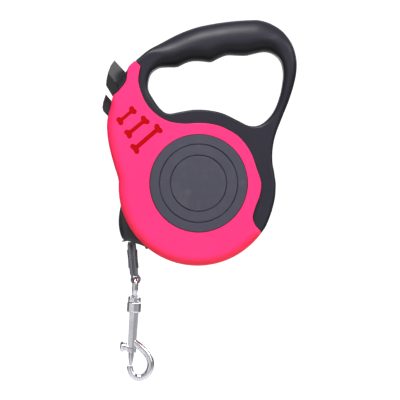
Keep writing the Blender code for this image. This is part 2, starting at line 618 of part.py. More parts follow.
# ---------------------------------------------------------------- reel, spring and tape
def reel_parts(black, steel, webbing, home):
    teeth = []
    for i in range(TEETH):
        mid = BRAKE_ANGLE + (i + 0.5) * PITCH
        for r, part in ((FLANGE_R, -0.2), (TOOTH_R, -0.14), (TOOTH_R, 0.14), (FLANGE_R, 0.2),
                        (FLANGE_R, 0.5)):
            teeth.append(polar(r, mid + part * PITCH))
    inner, outer = -TAPE_WIDE / 2 - 0.7, -TAPE_WIDE / 2 - 0.7 - FLANGE_THICK
    reel = prism("reel", teeth, outer, inner)
    join(reel, rod("hub", HUB_R, inner - 0.5, -inner - TOUCH, sides=32))
    cut(reel, rod("drum", HUB_BORE, inner, OUTSIDE, sides=32),
        rod("bore", ARBOR_R + TOUCH, -OUTSIDE, OUTSIDE, sides=24))
    finish(reel, black, home)
    finish(turned("reel_cover", [(ARBOR_R + TOUCH, -inner), (FLANGE_R, -inner),
                                 (FLANGE_R, -outer), (ARBOR_R + TOUCH, -outer)], 36), black, home)
    arbor = rod("spring_arbor", ARBOR_R, -11.9, 11.9, sides=24)
    cut(arbor, rod("thread", SHANK_R + TOUCH, 4.0, OUTSIDE, sides=12))
    finish(arbor, steel, home)
    for name, y0, y1 in (("front_washer", -9.1, -8.5), ("rear_washer", 8.5, 9.1)):
        finish(turned(name, [(ARBOR_R + TOUCH, y0), (5.5, y0), (5.5, y1), (ARBOR_R + TOUCH, y1)],
                      24), steel, home)
    coil = turned("wound_tape", [(HUB_R + TOUCH, -TAPE_WIDE / 2), (COIL_R, -TAPE_WIDE / 2),
                                 (COIL_R, TAPE_WIDE / 2), (HUB_R + TOUCH, TAPE_WIDE / 2)], 32)
    finish(coil, webbing, home)
    rows, turns, steps = [], 5, 14
    for i in range(turns * steps + 1):
        turn = 2 * math.pi * i / steps
        r = ARBOR_R + 0.7 + (HUB_BORE - ARBOR_R - 1.6) * i / (turns * steps)
        rows.append([((r + dr) * math.cos(turn), y, (r + dr) * math.sin(turn))
                     for dr, y in ((0, -5.5), (0.35, -5.5), (0.35, 5.5), (0, 5.5))])
    finish(solid("mainspring", rows), steel, home)
    run = [(-COIL_R - TOUCH - 0.35, 0.0), (-41.9, -16.0), (-42.9, -29.0), (EXIT_AT[0], EXIT_AT[1])]
    rings = [[(x + dx, y, z) for dx, y in ((-0.35, -6.0), (0.35, -6.0), (0.35, 6.0), (-0.35, 6.0))]
             for x, z in spline(run, 3, closed=False)]
    finish(solid("tape_run", rings), webbing, home, (EXIT_AT[0], 0.0, EXIT_AT[1]))


# ---------------------------------------------------------------- strap end and swivel snap
STRAP_THICK = 5.6                          # folded webbing
EYE_LONG, EYE_WIDE, EYE_WIRE = 9.3, 16.4, 1.7
EYE_CORNERS = (3.0, 3.4)                   # centre-line radii of its upper and lower corners
LOOP_IN, LOOP_OUT = 2.1, 3.0
STEM_R, STEM_HEAD_R = 1.5, 2.3
COLLAR_R, COLLAR_Z = 4.6, (-21.6, -11.5)
HEAD_Z = (-16.2, -14.4)                    # stem's head, seen through the collar's window
BARREL_R, BARREL_END = 3.2, -47.6
BOLT_R, BOLT_Z = 1.8, (-56.0, -34.0)
BOLT_TRAVEL = 6.0
KNOB_Z, KNOB_R, CAP_R = -44.1, 1.0, 3.4
HOOK = [(2.4, -41.6), (6.5, -44.4), (10.3, -48.0), (12.7, -52.5), (12.9, -56.8), (11.0, -61.0),
        (7.7, -63.4), (4.2, -63.6), (1.5, -61.7), (-0.1, -58.6), (-0.3, -56.5)]
HOOK_R = (2.3, 1.7)                        # its radius at the barrel and at the tip


def strap(mat, home):
    """Folded webbing with a loop round the eye's top bar."""
    ex, ez = EXIT_AT[0], EXIT_AT[1] - TOUCH
    hx, hz = HINGE_AT
    half = STRAP_THICK / 2
    body = [(ex - half, ez - 1.8), (ex - 0.6, ez), (ex + 0.6, ez), (ex + half, ez - 1.8),
            (hx + LOOP_OUT, hz + 2.8)]
    body += arc((hx, hz), LOOP_OUT, 30, -210, 12)
    body += [(hx - LOOP_OUT - 0.6, hz + 3.4)]
    piece = prism("leash_strap", body, -TAPE_WIDE / 2, TAPE_WIDE / 2)
    cut(piece, rod("loop_hole", LOOP_IN, -OUTSIDE, OUTSIDE, HINGE_AT, 16))
    finish(piece, mat, home, (EXIT_AT[0], 0.0, EXIT_AT[1]))


def snap(chrome, steel, swing):
    """Swivel eye and bolt snap in their own upright frame, hinge at the origin."""
    w, r, (top, low) = EYE_WIDE / 2, EYE_WIRE, EYE_CORNERS
    loop = (arc((top - w, -top), top, 180, 90, 3) + arc((w - top, -top), top, 90, 0, 3)
            + arc((w - low, low - EYE_LONG), low, 0, -90, 3)
            + arc((low - w, low - EYE_LONG), low, -90, -180, 3))
    rings = []
    for i, (y, z) in enumerate(loop):
        a, b = loop[i - 1], loop[(i + 1) % len(loop)]
        along = Vector((0.0, b[0] - a[0], b[1] - a[1])).normalized()
        side = along.cross(Vector((1, 0, 0)))
        rings.append([Vector((0.0, y, z)) + side * (r * math.cos(2 * math.pi * k / 8))
                      + Vector((1, 0, 0)) * (r * math.sin(2 * math.pi * k / 8))
                      for k in range(8)])
    eye = solid("swivel_eye", rings, wrap=True)
    join(eye, rod("stem", STEM_R, HEAD_Z[0] + 0.2, -EYE_LONG + 0.37, sides=14, axis="Z"),
         rod("stem_head", STEM_HEAD_R, *HEAD_Z, sides=16, axis="Z"))
    finish(eye, chrome, swing)

    body = rod("snap_body", COLLAR_R, *COLLAR_Z, sides=24, axis="Z", chamfer=0.8)
    join(body, rod("barrel", BARREL_R, BARREL_END, COLLAR_Z[0] + 1, (0.1, 0.0), 16, "Z", 0.5))
    hook = spline(HOOK, 3, closed=False)
    slim = (HOOK_R[1] - HOOK_R[0]) / (len(hook) - 1)
    join(body, tube("hook", hook, [HOOK_R[0] + slim * i for i in range(len(hook))], 10))
    side, room = COLLAR_R * 2, STEM_HEAD_R + TOUCH
    low, high = HEAD_Z[0] - TOUCH, HEAD_Z[1] + 0.8
    top = BOLT_Z[1] + BOLT_TRAVEL + 2.7
    cut(body, rod("eye_bore", STEM_R + TOUCH, low, 0.0, sides=16, axis="Z"),
        rod("head_room", room, low, high, sides=16, axis="Z"),
        prism("window", [(-side, low), (side, low), (side, high), (-side, high)], -room, room),
        rod("bolt_bore", BOLT_R + TOUCH, BARREL_END - 1, top, sides=16, axis="Z"),
        prism("knob_slot", [(-6.0, BARREL_END + 1), (0.0, BARREL_END + 1),
                            (0.0, KNOB_Z + BOLT_TRAVEL + 2), (-6.0, KNOB_Z + BOLT_TRAVEL + 2)],
              -KNOB_R - TOUCH, KNOB_R + TOUCH))
    turn = empty("snap_turn", (0.0, 0.0, 0.0), swing)
    finish(body, chrome, turn)

    bolt = rod("snap_bolt", BOLT_R, *BOLT_Z, sides=16, axis="Z", chamfer=0.5)
    join(bolt, rod("knob", KNOB_R, -7.4, 0.3, (0.0, KNOB_Z), 10, "X"),
         rod("cap", CAP_R, -7.6, -5.4, (0.0, KNOB_Z), 16, "X", 0.8),
         rod("flange", CAP_R - 0.8, -4.6, -3.8, (0.0, KNOB_Z), 16, "X"))
    finish(bolt, chrome, turn)
    finish(coil_spring("snap_spring", BOLT_R - 0.3, 0.22, top - BOLT_Z[1] - 2 * TOUCH, 7,
                       (0.0, 0.0, top - TOUCH), (0, 0, -1)), steel, turn)


# ---------------------------------------------------------------- screws and assembly
def screws(steel, home):
    def screw(name, at, seat, tip):
        body = rod(name, SHANK_R, tip, seat + 0.4, at, 8)
        join(body, rod("head", HEAD_R, seat, seat + HEAD_THICK, at, 12))
        slim, wide = 0.35, 1.6
        cross = [(slim, slim), (slim, wide), (-slim, wide), (-slim, slim), (-wide, slim),
                 (-wide, -slim), (-slim, -slim), (-slim, -wide), (slim, -wide), (slim, -slim),
                 (wide, -slim), (wide, slim)]
        cut(body, prism("cross", [(at[0] + x, at[1] + z) for x, z in cross],
                        seat + HEAD_THICK - 0.9, seat + HEAD_THICK + 1))
        finish(body, steel, home)

    for where, at in SCREWS.items():
        screw("screw_" + where, at, SCREW_SEAT + TOUCH, SCREW_TIP)
    screw("arbor_screw", (0.0, 0.0), SHELL_FACE + TOUCH, 4.4)


def main():
    clear()
    black = material("black_plastic", (0.016, 0.016, 0.022), 0.42, 0.0)
    grey = material("dark_grey_plastic", (0.080, 0.080, 0.105), 0.5, 0.0)
    pink = material("pink_plastic", (1.0, 0.045, 0.23), 0.38, 0.0)
    red = material("dark_red_plastic", (0.48, 0.002, 0.004), 0.45, 0.0)
    webbing = material("black_webbing", (0.012, 0.012, 0.014), 0.85, 0.0)
    chrome = material("chrome", (0.78, 0.78, 0.80), 0.18, PAST)
    steel = material("spring_steel", (0.50, 0.50, 0.52), 0.35, PAST)
    home = empty("reel_axis", REEL_AT)
    shells(black, home)
    covers(pink, red, home)
    discs(grey, home)
    nozzle(black, home)
    guide(steel, home)
    buttons(black, steel, home)
    reel_parts(black, steel, webbing, home)
    strap(webbing, home)
    snap(chrome, steel, empty("snap_swing", (HINGE_AT[0], 0.0, HINGE_AT[1]), home, SNAP_LEAN))
    screws(steel, home)


main()
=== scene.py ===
import json
import math

import bmesh
import bpy
from mathutils import Matrix, Vector


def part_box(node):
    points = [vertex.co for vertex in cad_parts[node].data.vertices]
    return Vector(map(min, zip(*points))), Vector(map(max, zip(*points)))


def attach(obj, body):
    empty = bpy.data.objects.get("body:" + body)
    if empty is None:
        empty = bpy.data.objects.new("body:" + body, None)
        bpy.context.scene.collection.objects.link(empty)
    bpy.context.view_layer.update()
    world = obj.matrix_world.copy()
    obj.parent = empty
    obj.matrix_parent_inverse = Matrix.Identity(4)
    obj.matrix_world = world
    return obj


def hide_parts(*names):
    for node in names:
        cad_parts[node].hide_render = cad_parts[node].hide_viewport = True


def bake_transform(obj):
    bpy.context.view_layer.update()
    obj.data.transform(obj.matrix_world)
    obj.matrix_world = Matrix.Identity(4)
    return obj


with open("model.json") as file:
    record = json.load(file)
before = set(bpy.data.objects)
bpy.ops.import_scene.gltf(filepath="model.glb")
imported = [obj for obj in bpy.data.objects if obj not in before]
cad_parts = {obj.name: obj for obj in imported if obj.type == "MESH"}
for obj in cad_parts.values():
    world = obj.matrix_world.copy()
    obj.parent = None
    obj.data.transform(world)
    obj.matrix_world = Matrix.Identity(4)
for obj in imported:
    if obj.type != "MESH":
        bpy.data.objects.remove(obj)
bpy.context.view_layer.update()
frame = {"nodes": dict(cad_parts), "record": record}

# Lengths are millimetres round the reel's axis: x right, z up, y through the thickness.
MM = 0.001
_low, _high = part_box("front_disc")
REEL = Vector(((_low[0] + _high[0]) / 2, 0.0, (_low[2] + _high[2]) / 2))
HOME = Matrix.Translation(REEL) @ Matrix.Scale(MM, 4)

SPLIT, TOUCH = 0.12, 0.3                       # shells' half gap, gap between touching pieces
OUTSIDE, PAST = 20.0, 1.0                      # cutters reach this far out, and past the mid-plane
SHELL_FACE, COVER_FACE, COVER_SKIN, COVER_ROLL = 13.0, 15.0, 2.0, 7.0
BODY_AT, BODY_R = (-0.8, -2.4), 50.9
DISC_R, DISC_PROUD, COVER_INNER_ROLL = 31.5, 0.4, 3.2
EXIT_AT, HINGE_AT, SNAP_LEAN = (-43.7, -38.3), (-40.9, -62.3), math.radians(3.4)
SNAP = HOME @ Matrix.Translation((HINGE_AT[0], 0.0, HINGE_AT[1])) @ Matrix.Rotation(SNAP_LEAN, 4, "Y")


# ------------------------------------------------------------ curves
def spline(points, per=3, closed=True):
    """Catmull-Rom curve through the points, with per steps between two of them."""
    n, out = len(points), []
    for i in range(n if closed else n - 1):
        a, b, c, d = (points[(i + k) % n if closed else min(max(i + k, 0), n - 1)]
                      for k in (-1, 0, 1, 2))
        for s in range(per):
            t = s / per
            out.append(tuple(0.5 * (2 * q + (r - p) * t + (2 * p - 5 * q + 4 * r - w) * t * t
                             + (3 * q - p - 3 * r + w) * t ** 3)
                             for p, q, r, w in zip(a, b, c, d)))
    if not closed:
        out.append(tuple(points[-1]))
    return out


def arc(centre, radius, start, end, steps):
    """Points on an arc in x and z, its angles in degrees."""
    return [(centre[0] + radius * math.cos(math.radians(start + (end - start) * i / steps)),
             centre[1] + radius * math.sin(math.radians(start + (end - start) * i / steps)))
            for i in range(steps + 1)]


def area(loop):
    """Signed area, positive for an anticlockwise loop."""
    return 0.5 * sum(p[0] * q[1] - q[0] * p[1] for p, q in zip(loop, loop[1:] + loop[:1]))


def inset(loop, by):
    """Loop moved inwards by one distance, or by one at each point."""
    sign, n, out = (1 if area(loop) > 0 else -1), len(loop), []
    for i, p in enumerate(loop):
        a, b = loop[i - 1], loop[(i + 1) % n]
        before = Vector((p[0] - a[0], p[1] - a[1])).normalized()
        after = Vector((b[0] - p[0], b[1] - p[1])).normalized()
        mean = before + after
        mean = mean.normalized() if mean.length > 1e-6 else before
        normal = Vector((-mean.y, mean.x)) * sign
        grow = 1 / max(0.5, abs(normal.dot(Vector((-after.y, after.x)))))
        step = by[i] if isinstance(by, (list, tuple)) else by
        out.append((p[0] + normal.x * step * grow, p[1] + normal.y * step * grow))
    return out


def smoothed(values, times=3):
    for _ in range(times):
        values = [(a + 2 * b + c) / 4
                  for a, b, c in zip(values[-1:] + values[:-1], values, values[1:] + values[:1])]
    return values


def relaxed(loop, amounts, times=2):
    """Loop whose bumps are evened out by an amount at each point."""
    for _ in range(times):
        loop = [tuple(q + (0.25 * (p + 2 * q + r) - q) * a for p, q, r in zip(before, here, after))
                for before, here, after, a in zip(loop[-1:] + loop[:-1], loop,
                                                  loop[1:] + loop[:1], amounts)]
    return loop


def ramp(value, low, high):
    """Smooth step from 0 at low to 1 at high."""
    t = min(1.0, max(0.0, (value - low) / (high - low)))
    return t * t * (3 - 2 * t)


# ------------------------------------------------------------ meshes
def link(name, bm, place=HOME):
    """Object from a bmesh in millimetres, with its normals outwards."""
    bmesh.ops.recalc_face_normals(bm, faces=bm.faces)
    mesh = bpy.data.meshes.new(name)
    bm.to_mesh(mesh)
    bm.free()
    mesh.transform(place)
    obj = bpy.data.objects.new(name, mesh)
    bpy.context.scene.collection.objects.link(obj)
    return obj


def solid(name, rings, wrap=False, place=HOME):
    """Closed body through rings of equal length, capped unless the last ring meets the first."""
    bm = bmesh.new()
    made = [[bm.verts.new(Vector(p)) for p in ring] for ring in rings]
    n = len(made[0])
    for low, high in zip(made, made[1:] + ([made[0]] if wrap else [])):
        for i in range(n):
            bm.faces.new((low[i], low[(i + 1) % n], high[(i + 1) % n], high[i]))
    if not wrap:
        bm.faces.new(made[0])
        bm.faces.new(made[-1])
    return link(name, bm, place)


def prism(name, outline, y0, y1, place=HOME):
    return solid(name, [[(x, y, z) for x, z in outline] for y in (y0, y1)], place=place)


def rod(name, radius, y0, y1, at=(0.0, 0.0), sides=48, axis="Y", edge=0.0, place=HOME):
    """Cylinder with rounded rims."""
    steps = [(radius - edge * (1 - math.sin(t)), y0 + edge * (1 - math.cos(t)))
             for t in (0.0, 0.4, 0.8, 1.2, math.pi / 2)] if edge else [(radius, y0)]
    steps += [(r, y1 - (h - y0)) for r, h in steps[::-1]]
    rings = []
    for r, h in steps:
        ring = []
        for i in range(sides):
            c, s = (r * f(2 * math.pi * i / sides) for f in (math.cos, math.sin))
            ring.append((at[0] + c, h, at[1] + s) if axis == "Y" else (at[0] + c, at[1] + s, h))
        rings.append(ring)
    return solid(name, rings, place=place)


def turned(name, profile, sides):
    """Body turned round the reel's axis from radii and places along it."""
    rings = []
    for i in range(sides):
        c, s = (f(2 * math.pi * i / sides) for f in (math.cos, math.sin))
        rings.append([(r * c, h, r * s) for r, h in profile])
    return solid(name, rings, wrap=True)


def rolled(name, loop, radii, y0, face, steps, deep):
    """Slab whose outer face rolls over to its sides; deep is the roll's depth against its width."""
    rings = [[(x, y0, z) for x, z in loop]]
    for k in range(steps + 1):
        turn = 0.5 * math.pi * k / steps
        moved = inset(loop, [r * (1 - math.cos(turn)) for r in radii])
        rings.append([(x, -face + deep * r * (1 - math.sin(turn)), z)
                      for (x, z), r in zip(moved, radii)])
    return solid(name, rings)


def combine(obj, other, operation):
    mod = obj.modifiers.new("shape", "BOOLEAN")
    mod.operation, mod.solver, mod.object = operation, "EXACT", other
    graph = bpy.context.evaluated_depsgraph_get()
    mesh = bpy.data.meshes.new_from_object(obj.evaluated_get(graph))
    obj.modifiers.clear()
    obj.data = mesh
    bpy.data.objects.remove(other, do_unlink=True)


def cut(obj, *others):
    for other in others:
        combine(obj, other, "DIFFERENCE")
    return obj


def join(obj, *others):
    for other in others:
        combine(obj, other, "UNION")


def mirrored(obj, name):
    """The same body on the other side of the mid-plane."""
    twin = bpy.data.objects.new(name, obj.data.copy())
    bpy.context.scene.collection.objects.link(twin)
    twin.data.transform(Matrix.Diagonal((1, -1, 1, 1)))
    twin.data.flip_normals()
    return twin


def piece(obj, mat, body, nodes, sharp=32.0, bevel=0.0):
    """Finish a piece: material, smooth shading, the body it rides on and the nodes it stands for."""
    obj.data.materials.clear()
    obj.data.materials.append(mat)
    for poly in obj.data.polygons:
        poly.material_index = 0
    if bevel:
        mod = obj.modifiers.new("edges", "BEVEL")
        mod.width, mod.segments, mod.limit_method = bevel * MM, 2, "ANGLE"
        mod.angle_limit, mod.harden_normals = math.radians(40), False
    obj.data.shade_smooth()
    obj.data.set_sharp_from_angle(angle=math.radians(sharp))
    mod = obj.modifiers.new("normals", "WEIGHTED_NORMAL")
    mod.keep_sharp, mod.weight = True, 50
    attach(obj, body)
    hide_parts(*nodes)


# ------------------------------------------------------------ materials
def nodes_of(name):
    mat = bpy.data.materials.new(name)
    mat.use_nodes = True
    tree = mat.node_tree
    return mat, tree, tree.nodes["Principled BSDF"]


def add(tree, kind, **values):
    node = tree.nodes.new(kind)
    for key, value in values.items():
        setattr(node, key, value)
    return node


def noise(tree, vector, scale, detail=3.0, rough=0.5):
    node = add(tree, "ShaderNodeTexNoise")
    node.inputs["Scale"].default_value = scale
    node.inputs["Detail"].default_value = detail
    node.inputs["Roughness"].default_value = rough
    tree.links.new(vector, node.inputs["Vector"])
    return node.outputs["Fac"]


def remap(tree, value, low, high, new_low=0.0, new_high=1.0):
    node = add(tree, "ShaderNodeMapRange")
    for key, number in (("From Min", low), ("From Max", high), ("To Min", new_low),
                        ("To Max", new_high)):
        node.inputs[key].default_value = number
    tree.links.new(value, node.inputs["Value"])
    return node.outputs["Result"]


def mixed(tree, fac, first, second):
    node = add(tree, "ShaderNodeMix", data_type="RGBA")
    tree.links.new(fac, node.inputs["Factor"])
    for name, value in (("A", first), ("B", second)):
        socket = [s for s in node.inputs if s.name == name and s.type == "RGBA"][0]
        if isinstance(value, tuple):
            socket.default_value = (*value, 1.0)
        else:
            tree.links.new(value, socket)
    return [s for s in node.outputs if s.type == "RGBA"][0]


def maths(tree, operation, first, second=None):
    node = add(tree, "ShaderNodeMath", operation=operation)
    for i, value in enumerate((first, second)):
        if value is None:
            continue
        if isinstance(value, (int, float)):
            node.inputs[i].default_value = value
        else:
            tree.links.new(value, node.inputs[i])
    return node.outputs[0]


def bumped(tree, shader, height, strength, distance):
    node = add(tree, "ShaderNodeBump")
    node.inputs["Strength"].default_value = strength
    node.inputs["Distance"].default_value = distance
    tree.links.new(height, node.inputs["Height"])
    tree.links.new(node.outputs["Normal"], shader.inputs["Normal"])


def plastic(name, base, lighter, rough, grain=1800.0, depth=0.25, level=0.5, worn=None,
            painted_shade=None):
    """Moulded plastic: fine spark grain, slow colour drift, uneven gloss and rubbed edges.

    painted_shade is a darker colour painted on as shade where the surface rolls to the side and
    downwards; on the pink it is also redder.
    """
    mat, tree, shader = nodes_of(name)
    where = add(tree, "ShaderNodeTexCoord").outputs["Object"]
    slow = remap(tree, noise(tree, where, 22.0, 2.0), 0.35, 0.65)
    fine = noise(tree, where, grain, 2.0, 0.6)
    colour = mixed(tree, slow, base, lighter)
    # Painted shade: the colour darkens where the normal turns away from the front and back faces,
    # most where it also faces down.
    if painted_shade:
        part = add(tree, "ShaderNodeSeparateXYZ")
        tree.links.new(add(tree, "ShaderNodeNewGeometry").outputs["Normal"], part.inputs[0])
        side = remap(tree, maths(tree, "ABSOLUTE", part.outputs["Y"]), 0.999, 0.93)
        under = remap(tree, part.outputs["Z"], 0.3, -0.5, 0.2, 1.0)
        colour = mixed(tree, maths(tree, "MULTIPLY", side, under), colour, painted_shade)
    if worn:
        edge = add(tree, "ShaderNodeNewGeometry").outputs["Pointiness"]
        scuff = maths(tree, "MULTIPLY", remap(tree, edge, 0.53, 0.62),
                      remap(tree, noise(tree, where, 160.0, 3.0), 0.45, 0.7, 0.0, 0.4))
        colour = mixed(tree, scuff, colour, worn)
    tree.links.new(colour, shader.inputs["Base Color"])
    patch = noise(tree, where, 75.0, 3.0)
    tree.links.new(remap(tree, patch, 0.3, 0.7, rough[0], rough[1]), shader.inputs["Roughness"])
    shader.inputs["Specular IOR Level"].default_value = level
    bumped(tree, shader, fine, depth, 0.00006)
    return mat


def metal(name, base, darker, rough, cast=0.15):
    """Plated or drawn metal: soft casting ripple, fine scratches and a slow drift to a darker tone.
    """
    mat, tree, shader = nodes_of(name)
    where = add(tree, "ShaderNodeTexCoord").outputs["Object"]
    slow = remap(tree, noise(tree, where, 130.0, 3.0), 0.35, 0.7)
    tree.links.new(mixed(tree, slow, base, darker), shader.inputs["Base Color"])
    fine = noise(tree, where, 900.0, 4.0, 0.65)
    tree.links.new(remap(tree, fine, 0.3, 0.7, rough[0], rough[1]), shader.inputs["Roughness"])
    shader.inputs["Metallic"].default_value = 1.0
    ripple = maths(tree, "ADD", noise(tree, where, 300.0, 2.0),
                   maths(tree, "MULTIPLY", fine, 0.25))
    bumped(tree, shader, ripple, cast, 0.00012)
    return mat


def webbing(name, base, lighter):
    """Woven polyester tape: a herringbone of fine ribs along and across the band."""
    mat, tree, shader = nodes_of(name)
    where = add(tree, "ShaderNodeTexCoord").outputs["Object"]
    part = add(tree, "ShaderNodeSeparateXYZ")
    tree.links.new(where, part.inputs[0])
    rib_long, rib_wide = 0.0011, 0.0016
    along = maths(tree, "MULTIPLY", part.outputs["Z"], 2 * math.pi / rib_long)
    across = maths(tree, "MULTIPLY", part.outputs["Y"], 2 * math.pi / rib_wide)
    side = maths(tree, "MULTIPLY", part.outputs["X"], 2 * math.pi / rib_wide)
    rib = maths(tree, "SINE", maths(tree, "ADD", along, maths(tree, "ADD", across, side)))
    back = maths(tree, "SINE", maths(tree, "SUBTRACT", along, maths(tree, "ADD", across, side)))
    weave = maths(tree, "ADD", maths(tree, "ABSOLUTE", rib), maths(tree, "ABSOLUTE", back))
    fuzz = noise(tree, where, 2600.0, 3.0, 0.7)
    height = maths(tree, "ADD", weave, maths(tree, "MULTIPLY", fuzz, 0.8))
    tree.links.new(mixed(tree, remap(tree, height, 0.6, 2.4), base, lighter),
                   shader.inputs["Base Color"])
    tree.links.new(remap(tree, fuzz, 0.3, 0.7, 0.7, 0.95), shader.inputs["Roughness"])
    shader.inputs["Sheen Weight"].default_value = 0.25
    shader.inputs["Sheen Roughness"].default_value = 0.4
    bumped(tree, shader, height, 0.6, 0.00018)
    return mat


# The black shell and the pink cover get painted shade where they roll to the side and downwards.
BLACK = plastic("black_shell", (0.020, 0.019, 0.029), (0.023, 0.022, 0.032), (0.38, 0.43),
                level=0.22, worn=(0.03, 0.03, 0.04), painted_shade=(0.006, 0.006, 0.009))
GREY = plastic("dark_grey_face", (0.046, 0.044, 0.066), (0.050, 0.048, 0.071), (0.52, 0.58),
               grain=2200.0, depth=0.35, level=0.35, worn=(0.09, 0.09, 0.10))
GLOSS = plastic("gloss_black", (0.010, 0.010, 0.014), (0.012, 0.012, 0.016), (0.30, 0.35),
                depth=0.08, worn=(0.05, 0.05, 0.06))
PINK = plastic("pink_cover", (0.98, 0.022, 0.165), (0.98, 0.026, 0.174), (0.38, 0.43), depth=0.18,
               level=0.4, worn=(1.0, 0.05, 0.22), painted_shade=(0.95, 0.008, 0.058))
RED = plastic("dark_red_insert", (0.40, 0.0003, 0.0006), (0.43, 0.0006, 0.0009), (0.5, 0.56),
              level=0.08, worn=(0.45, 0.01, 0.01))
NATURAL = plastic("reel_plastic", (0.60, 0.60, 0.57), (0.66, 0.66, 0.63), (0.45, 0.60),
                  worn=(0.7, 0.7, 0.68))
CHROME = metal("chrome_plate", (0.88, 0.87, 0.93), (0.74, 0.73, 0.79), (0.08, 0.20))
STEEL = metal("spring_steel", (0.50, 0.50, 0.52), (0.38, 0.37, 0.37), (0.25, 0.45), cast=0.3)
WEB = webbing("black_webbing", (0.008, 0.008, 0.011), (0.190, 0.184, 0.225))
THREAD = webbing("stitch_thread", (0.010, 0.010, 0.012), (0.05, 0.05, 0.056))

SLOTS = {"black_plastic": BLACK, "dark_grey_plastic": GREY, "pink_plastic": PINK,
         "dark_red_plastic": RED, "reel_plastic": NATURAL, "black_webbing": WEB,
         "chrome": CHROME, "spring_steel": STEEL}
for part in frame["record"]["subparts"]:
    node = frame["nodes"][part["node"]]
    node.data.materials.clear()
    node.data.materials.append(SLOTS[part["material_slot"]])


# ------------------------------------------------------------ housing outlines
LEFT_EDGE = [(-41.0, 79.0), (-45.3, 74.8), (-45.9, 70.0), (-46.9, 65.4), (-51.3, 59.6),
             (-55.2, 56.0), (-56.7, 49.5), (-58.8, 42.0), (-59.2, 35.0), (-58.0, 25.0),
             (-55.3, 14.0), (-52.3, 4.5)]
INNER_EDGE = [(40.0, -30.8), (36.4, -27.0), (34.8, -22.0), (36.4, -15.6), (39.2, -8.0),
              (40.2, 0.0), (37.4, 9.2), (33.6, 19.6), (27.2, 28.6), (20.2, 33.7), (12.0, 37.2),
              (2.0, 38.7), (-10.0, 38.3), (-19.5, 39.9), (-27.5, 44.5), (-33.8, 51.4),
              (-37.6, 60.0), (-38.9, 67.5), (-37.2, 76.2)]
HANDLE_EDGE = [(-33.0, 85.6), (-25.1, 90.4), (-13.5, 96.7), (-1.9, 101.1), (9.8, 103.6),
               (21.3, 105.2), (33.0, 106.0), (40.0, 105.8), (47.5, 103.3), (54.5, 98.4),
               (60.2, 90.5), (63.0, 82.0), (63.4, 74.0), (62.0, 65.2), (58.6, 54.0),
               (53.8, 42.0), (49.8, 31.5), (47.9, 22.5), (47.7, 14.0), (48.8, 7.5)]
RIGHT_EDGE = [(49.9, 0.0), (49.4, -9.0), (47.1, -18.6), (43.6, -27.5)]
GAP_TOP = [(-31.5, 70.4), (-26.5, 74.7), (-20.5, 75.4), (-14.0, 75.6), (-8.5, 78.1), (-3.5, 79.4),
           (3.0, 79.2), (8.0, 78.8), (13.5, 81.4), (18.5, 83.2), (25.0, 83.0), (31.0, 83.0),
           (37.5, 84.5), (43.0, 85.3), (48.5, 83.9), (53.0, 79.8), (54.9, 73.0), (54.6, 66.0)]
GAP_LOW = [(52.7, 56.5), (49.0, 47.2), (43.5, 40.4), (38.0, 37.2), (32.0, 37.3), (25.0, 40.7),
           (15.5, 45.2), (6.0, 47.2), (-3.0, 47.5), (-11.5, 46.2), (-19.5, 45.0), (-24.5, 47.9),
           (-29.5, 54.8), (-32.9, 62.0)]
LEDGE = ((-45.4, 74.6), (-55.6, 56.2))
LEDGE_BLOCK = [LEDGE[0], LEDGE[1], (-51.0, 53.4), (-41.5, 70.5)]
FINE, LOW_STEPS = 6, 60                        # steps on each curve's span and on the lower arc
RIM_POINTS = FINE * (len(LEFT_EDGE) - 1) + 1 + LOW_STEPS + 1
TIP_SOLID = 71.0                               # the cover's tip is solid above this
RIM_TOP, RIM_FADE = 66.0, 26.0                 # where the rolled rim starts, and how fast it grows


def rim_weight(z):
    return ramp(RIM_TOP - z, 0.0, RIM_FADE)


def cover_outline():
    """Pink cover's edge, and how much of it rolls over at each point."""
    left = spline(LEFT_EDGE, FINE, closed=False)
    low = arc(BODY_AT, BODY_R, 176.0, 324.0, LOW_STEPS)
    inner = spline(INNER_EDGE, FINE, closed=False)[1:-1]
    loop = left + low + inner
    rim = [max(0.05, rim_weight(z)) for _, z in left + low[:-1]]
    return loop, rim + [0.3] + [0.04] * len(inner)


def skirt_inside(depth):
    """Outline of the room behind the cover's rim, open past its inner edge."""
    loop, _ = cover_outline()
    stepped = inset(loop, [depth] * RIM_POINTS + [-4.0] * (len(loop) - RIM_POINTS))
    top = TIP_SOLID - 10 * (depth - COVER_SKIN)
    return [p for p in stepped if p[1] < top]


def under_cover(name, depth, face):
    """Block that fills a cover's hollow, its rim rolled like the cover's own."""
    loop = skirt_inside(depth)
    over = len([p for p in cover_outline()[0] if p[1] >= loop[0][1]]) // 2
    rim = RIM_POINTS - over
    radii = smoothed([COVER_INNER_ROLL] * rim + [0.0] * (len(loop) - rim), 2)
    radii = [0.05 + r * rim_weight(z) for (_, z), r in zip(loop, radii)]
    return rolled(name, loop, radii, 2.0, face, 9, 1.0)


def ledge_line(loop):
    """Loop with the stretch beside the brake button pulled onto the ledge's straight edge."""
    (x0, z0), (x1, z1) = LEDGE
    return [(x0 + (x1 - x0) * (z0 - z) / (z0 - z1), z) if z1 + 0.8 < z < z0 - 0.8 and x < -42
            else (x, z) for x, z in loop]


def silhouette():
    """A shell's outer edge, and the radius that rolls over at each point."""
    rim = cover_outline()[0][1:RIM_POINTS]
    over = spline([(-40.6, 79.2)] + HANDLE_EDGE, FINE, closed=False)
    right = spline(RIGHT_EDGE + [(40.4, -32.2)], FINE, closed=False)[:-1]
    roll = []
    for x, z in over + right:
        grip = ramp(z, 82.0, 92.0) * ramp(x, -36.0, -18.0) * (1 - ramp(x, 50.0, 61.0))
        bar = ramp(z, 30.0, 60.0) * ramp(x, 40.0, 50.0)
        roll.append(2.4 + 10.4 * grip + 2.4 * bar * (1 - grip))
    return ledge_line(over + right + rim[::-1]), roll + [0.3] * len(rim)


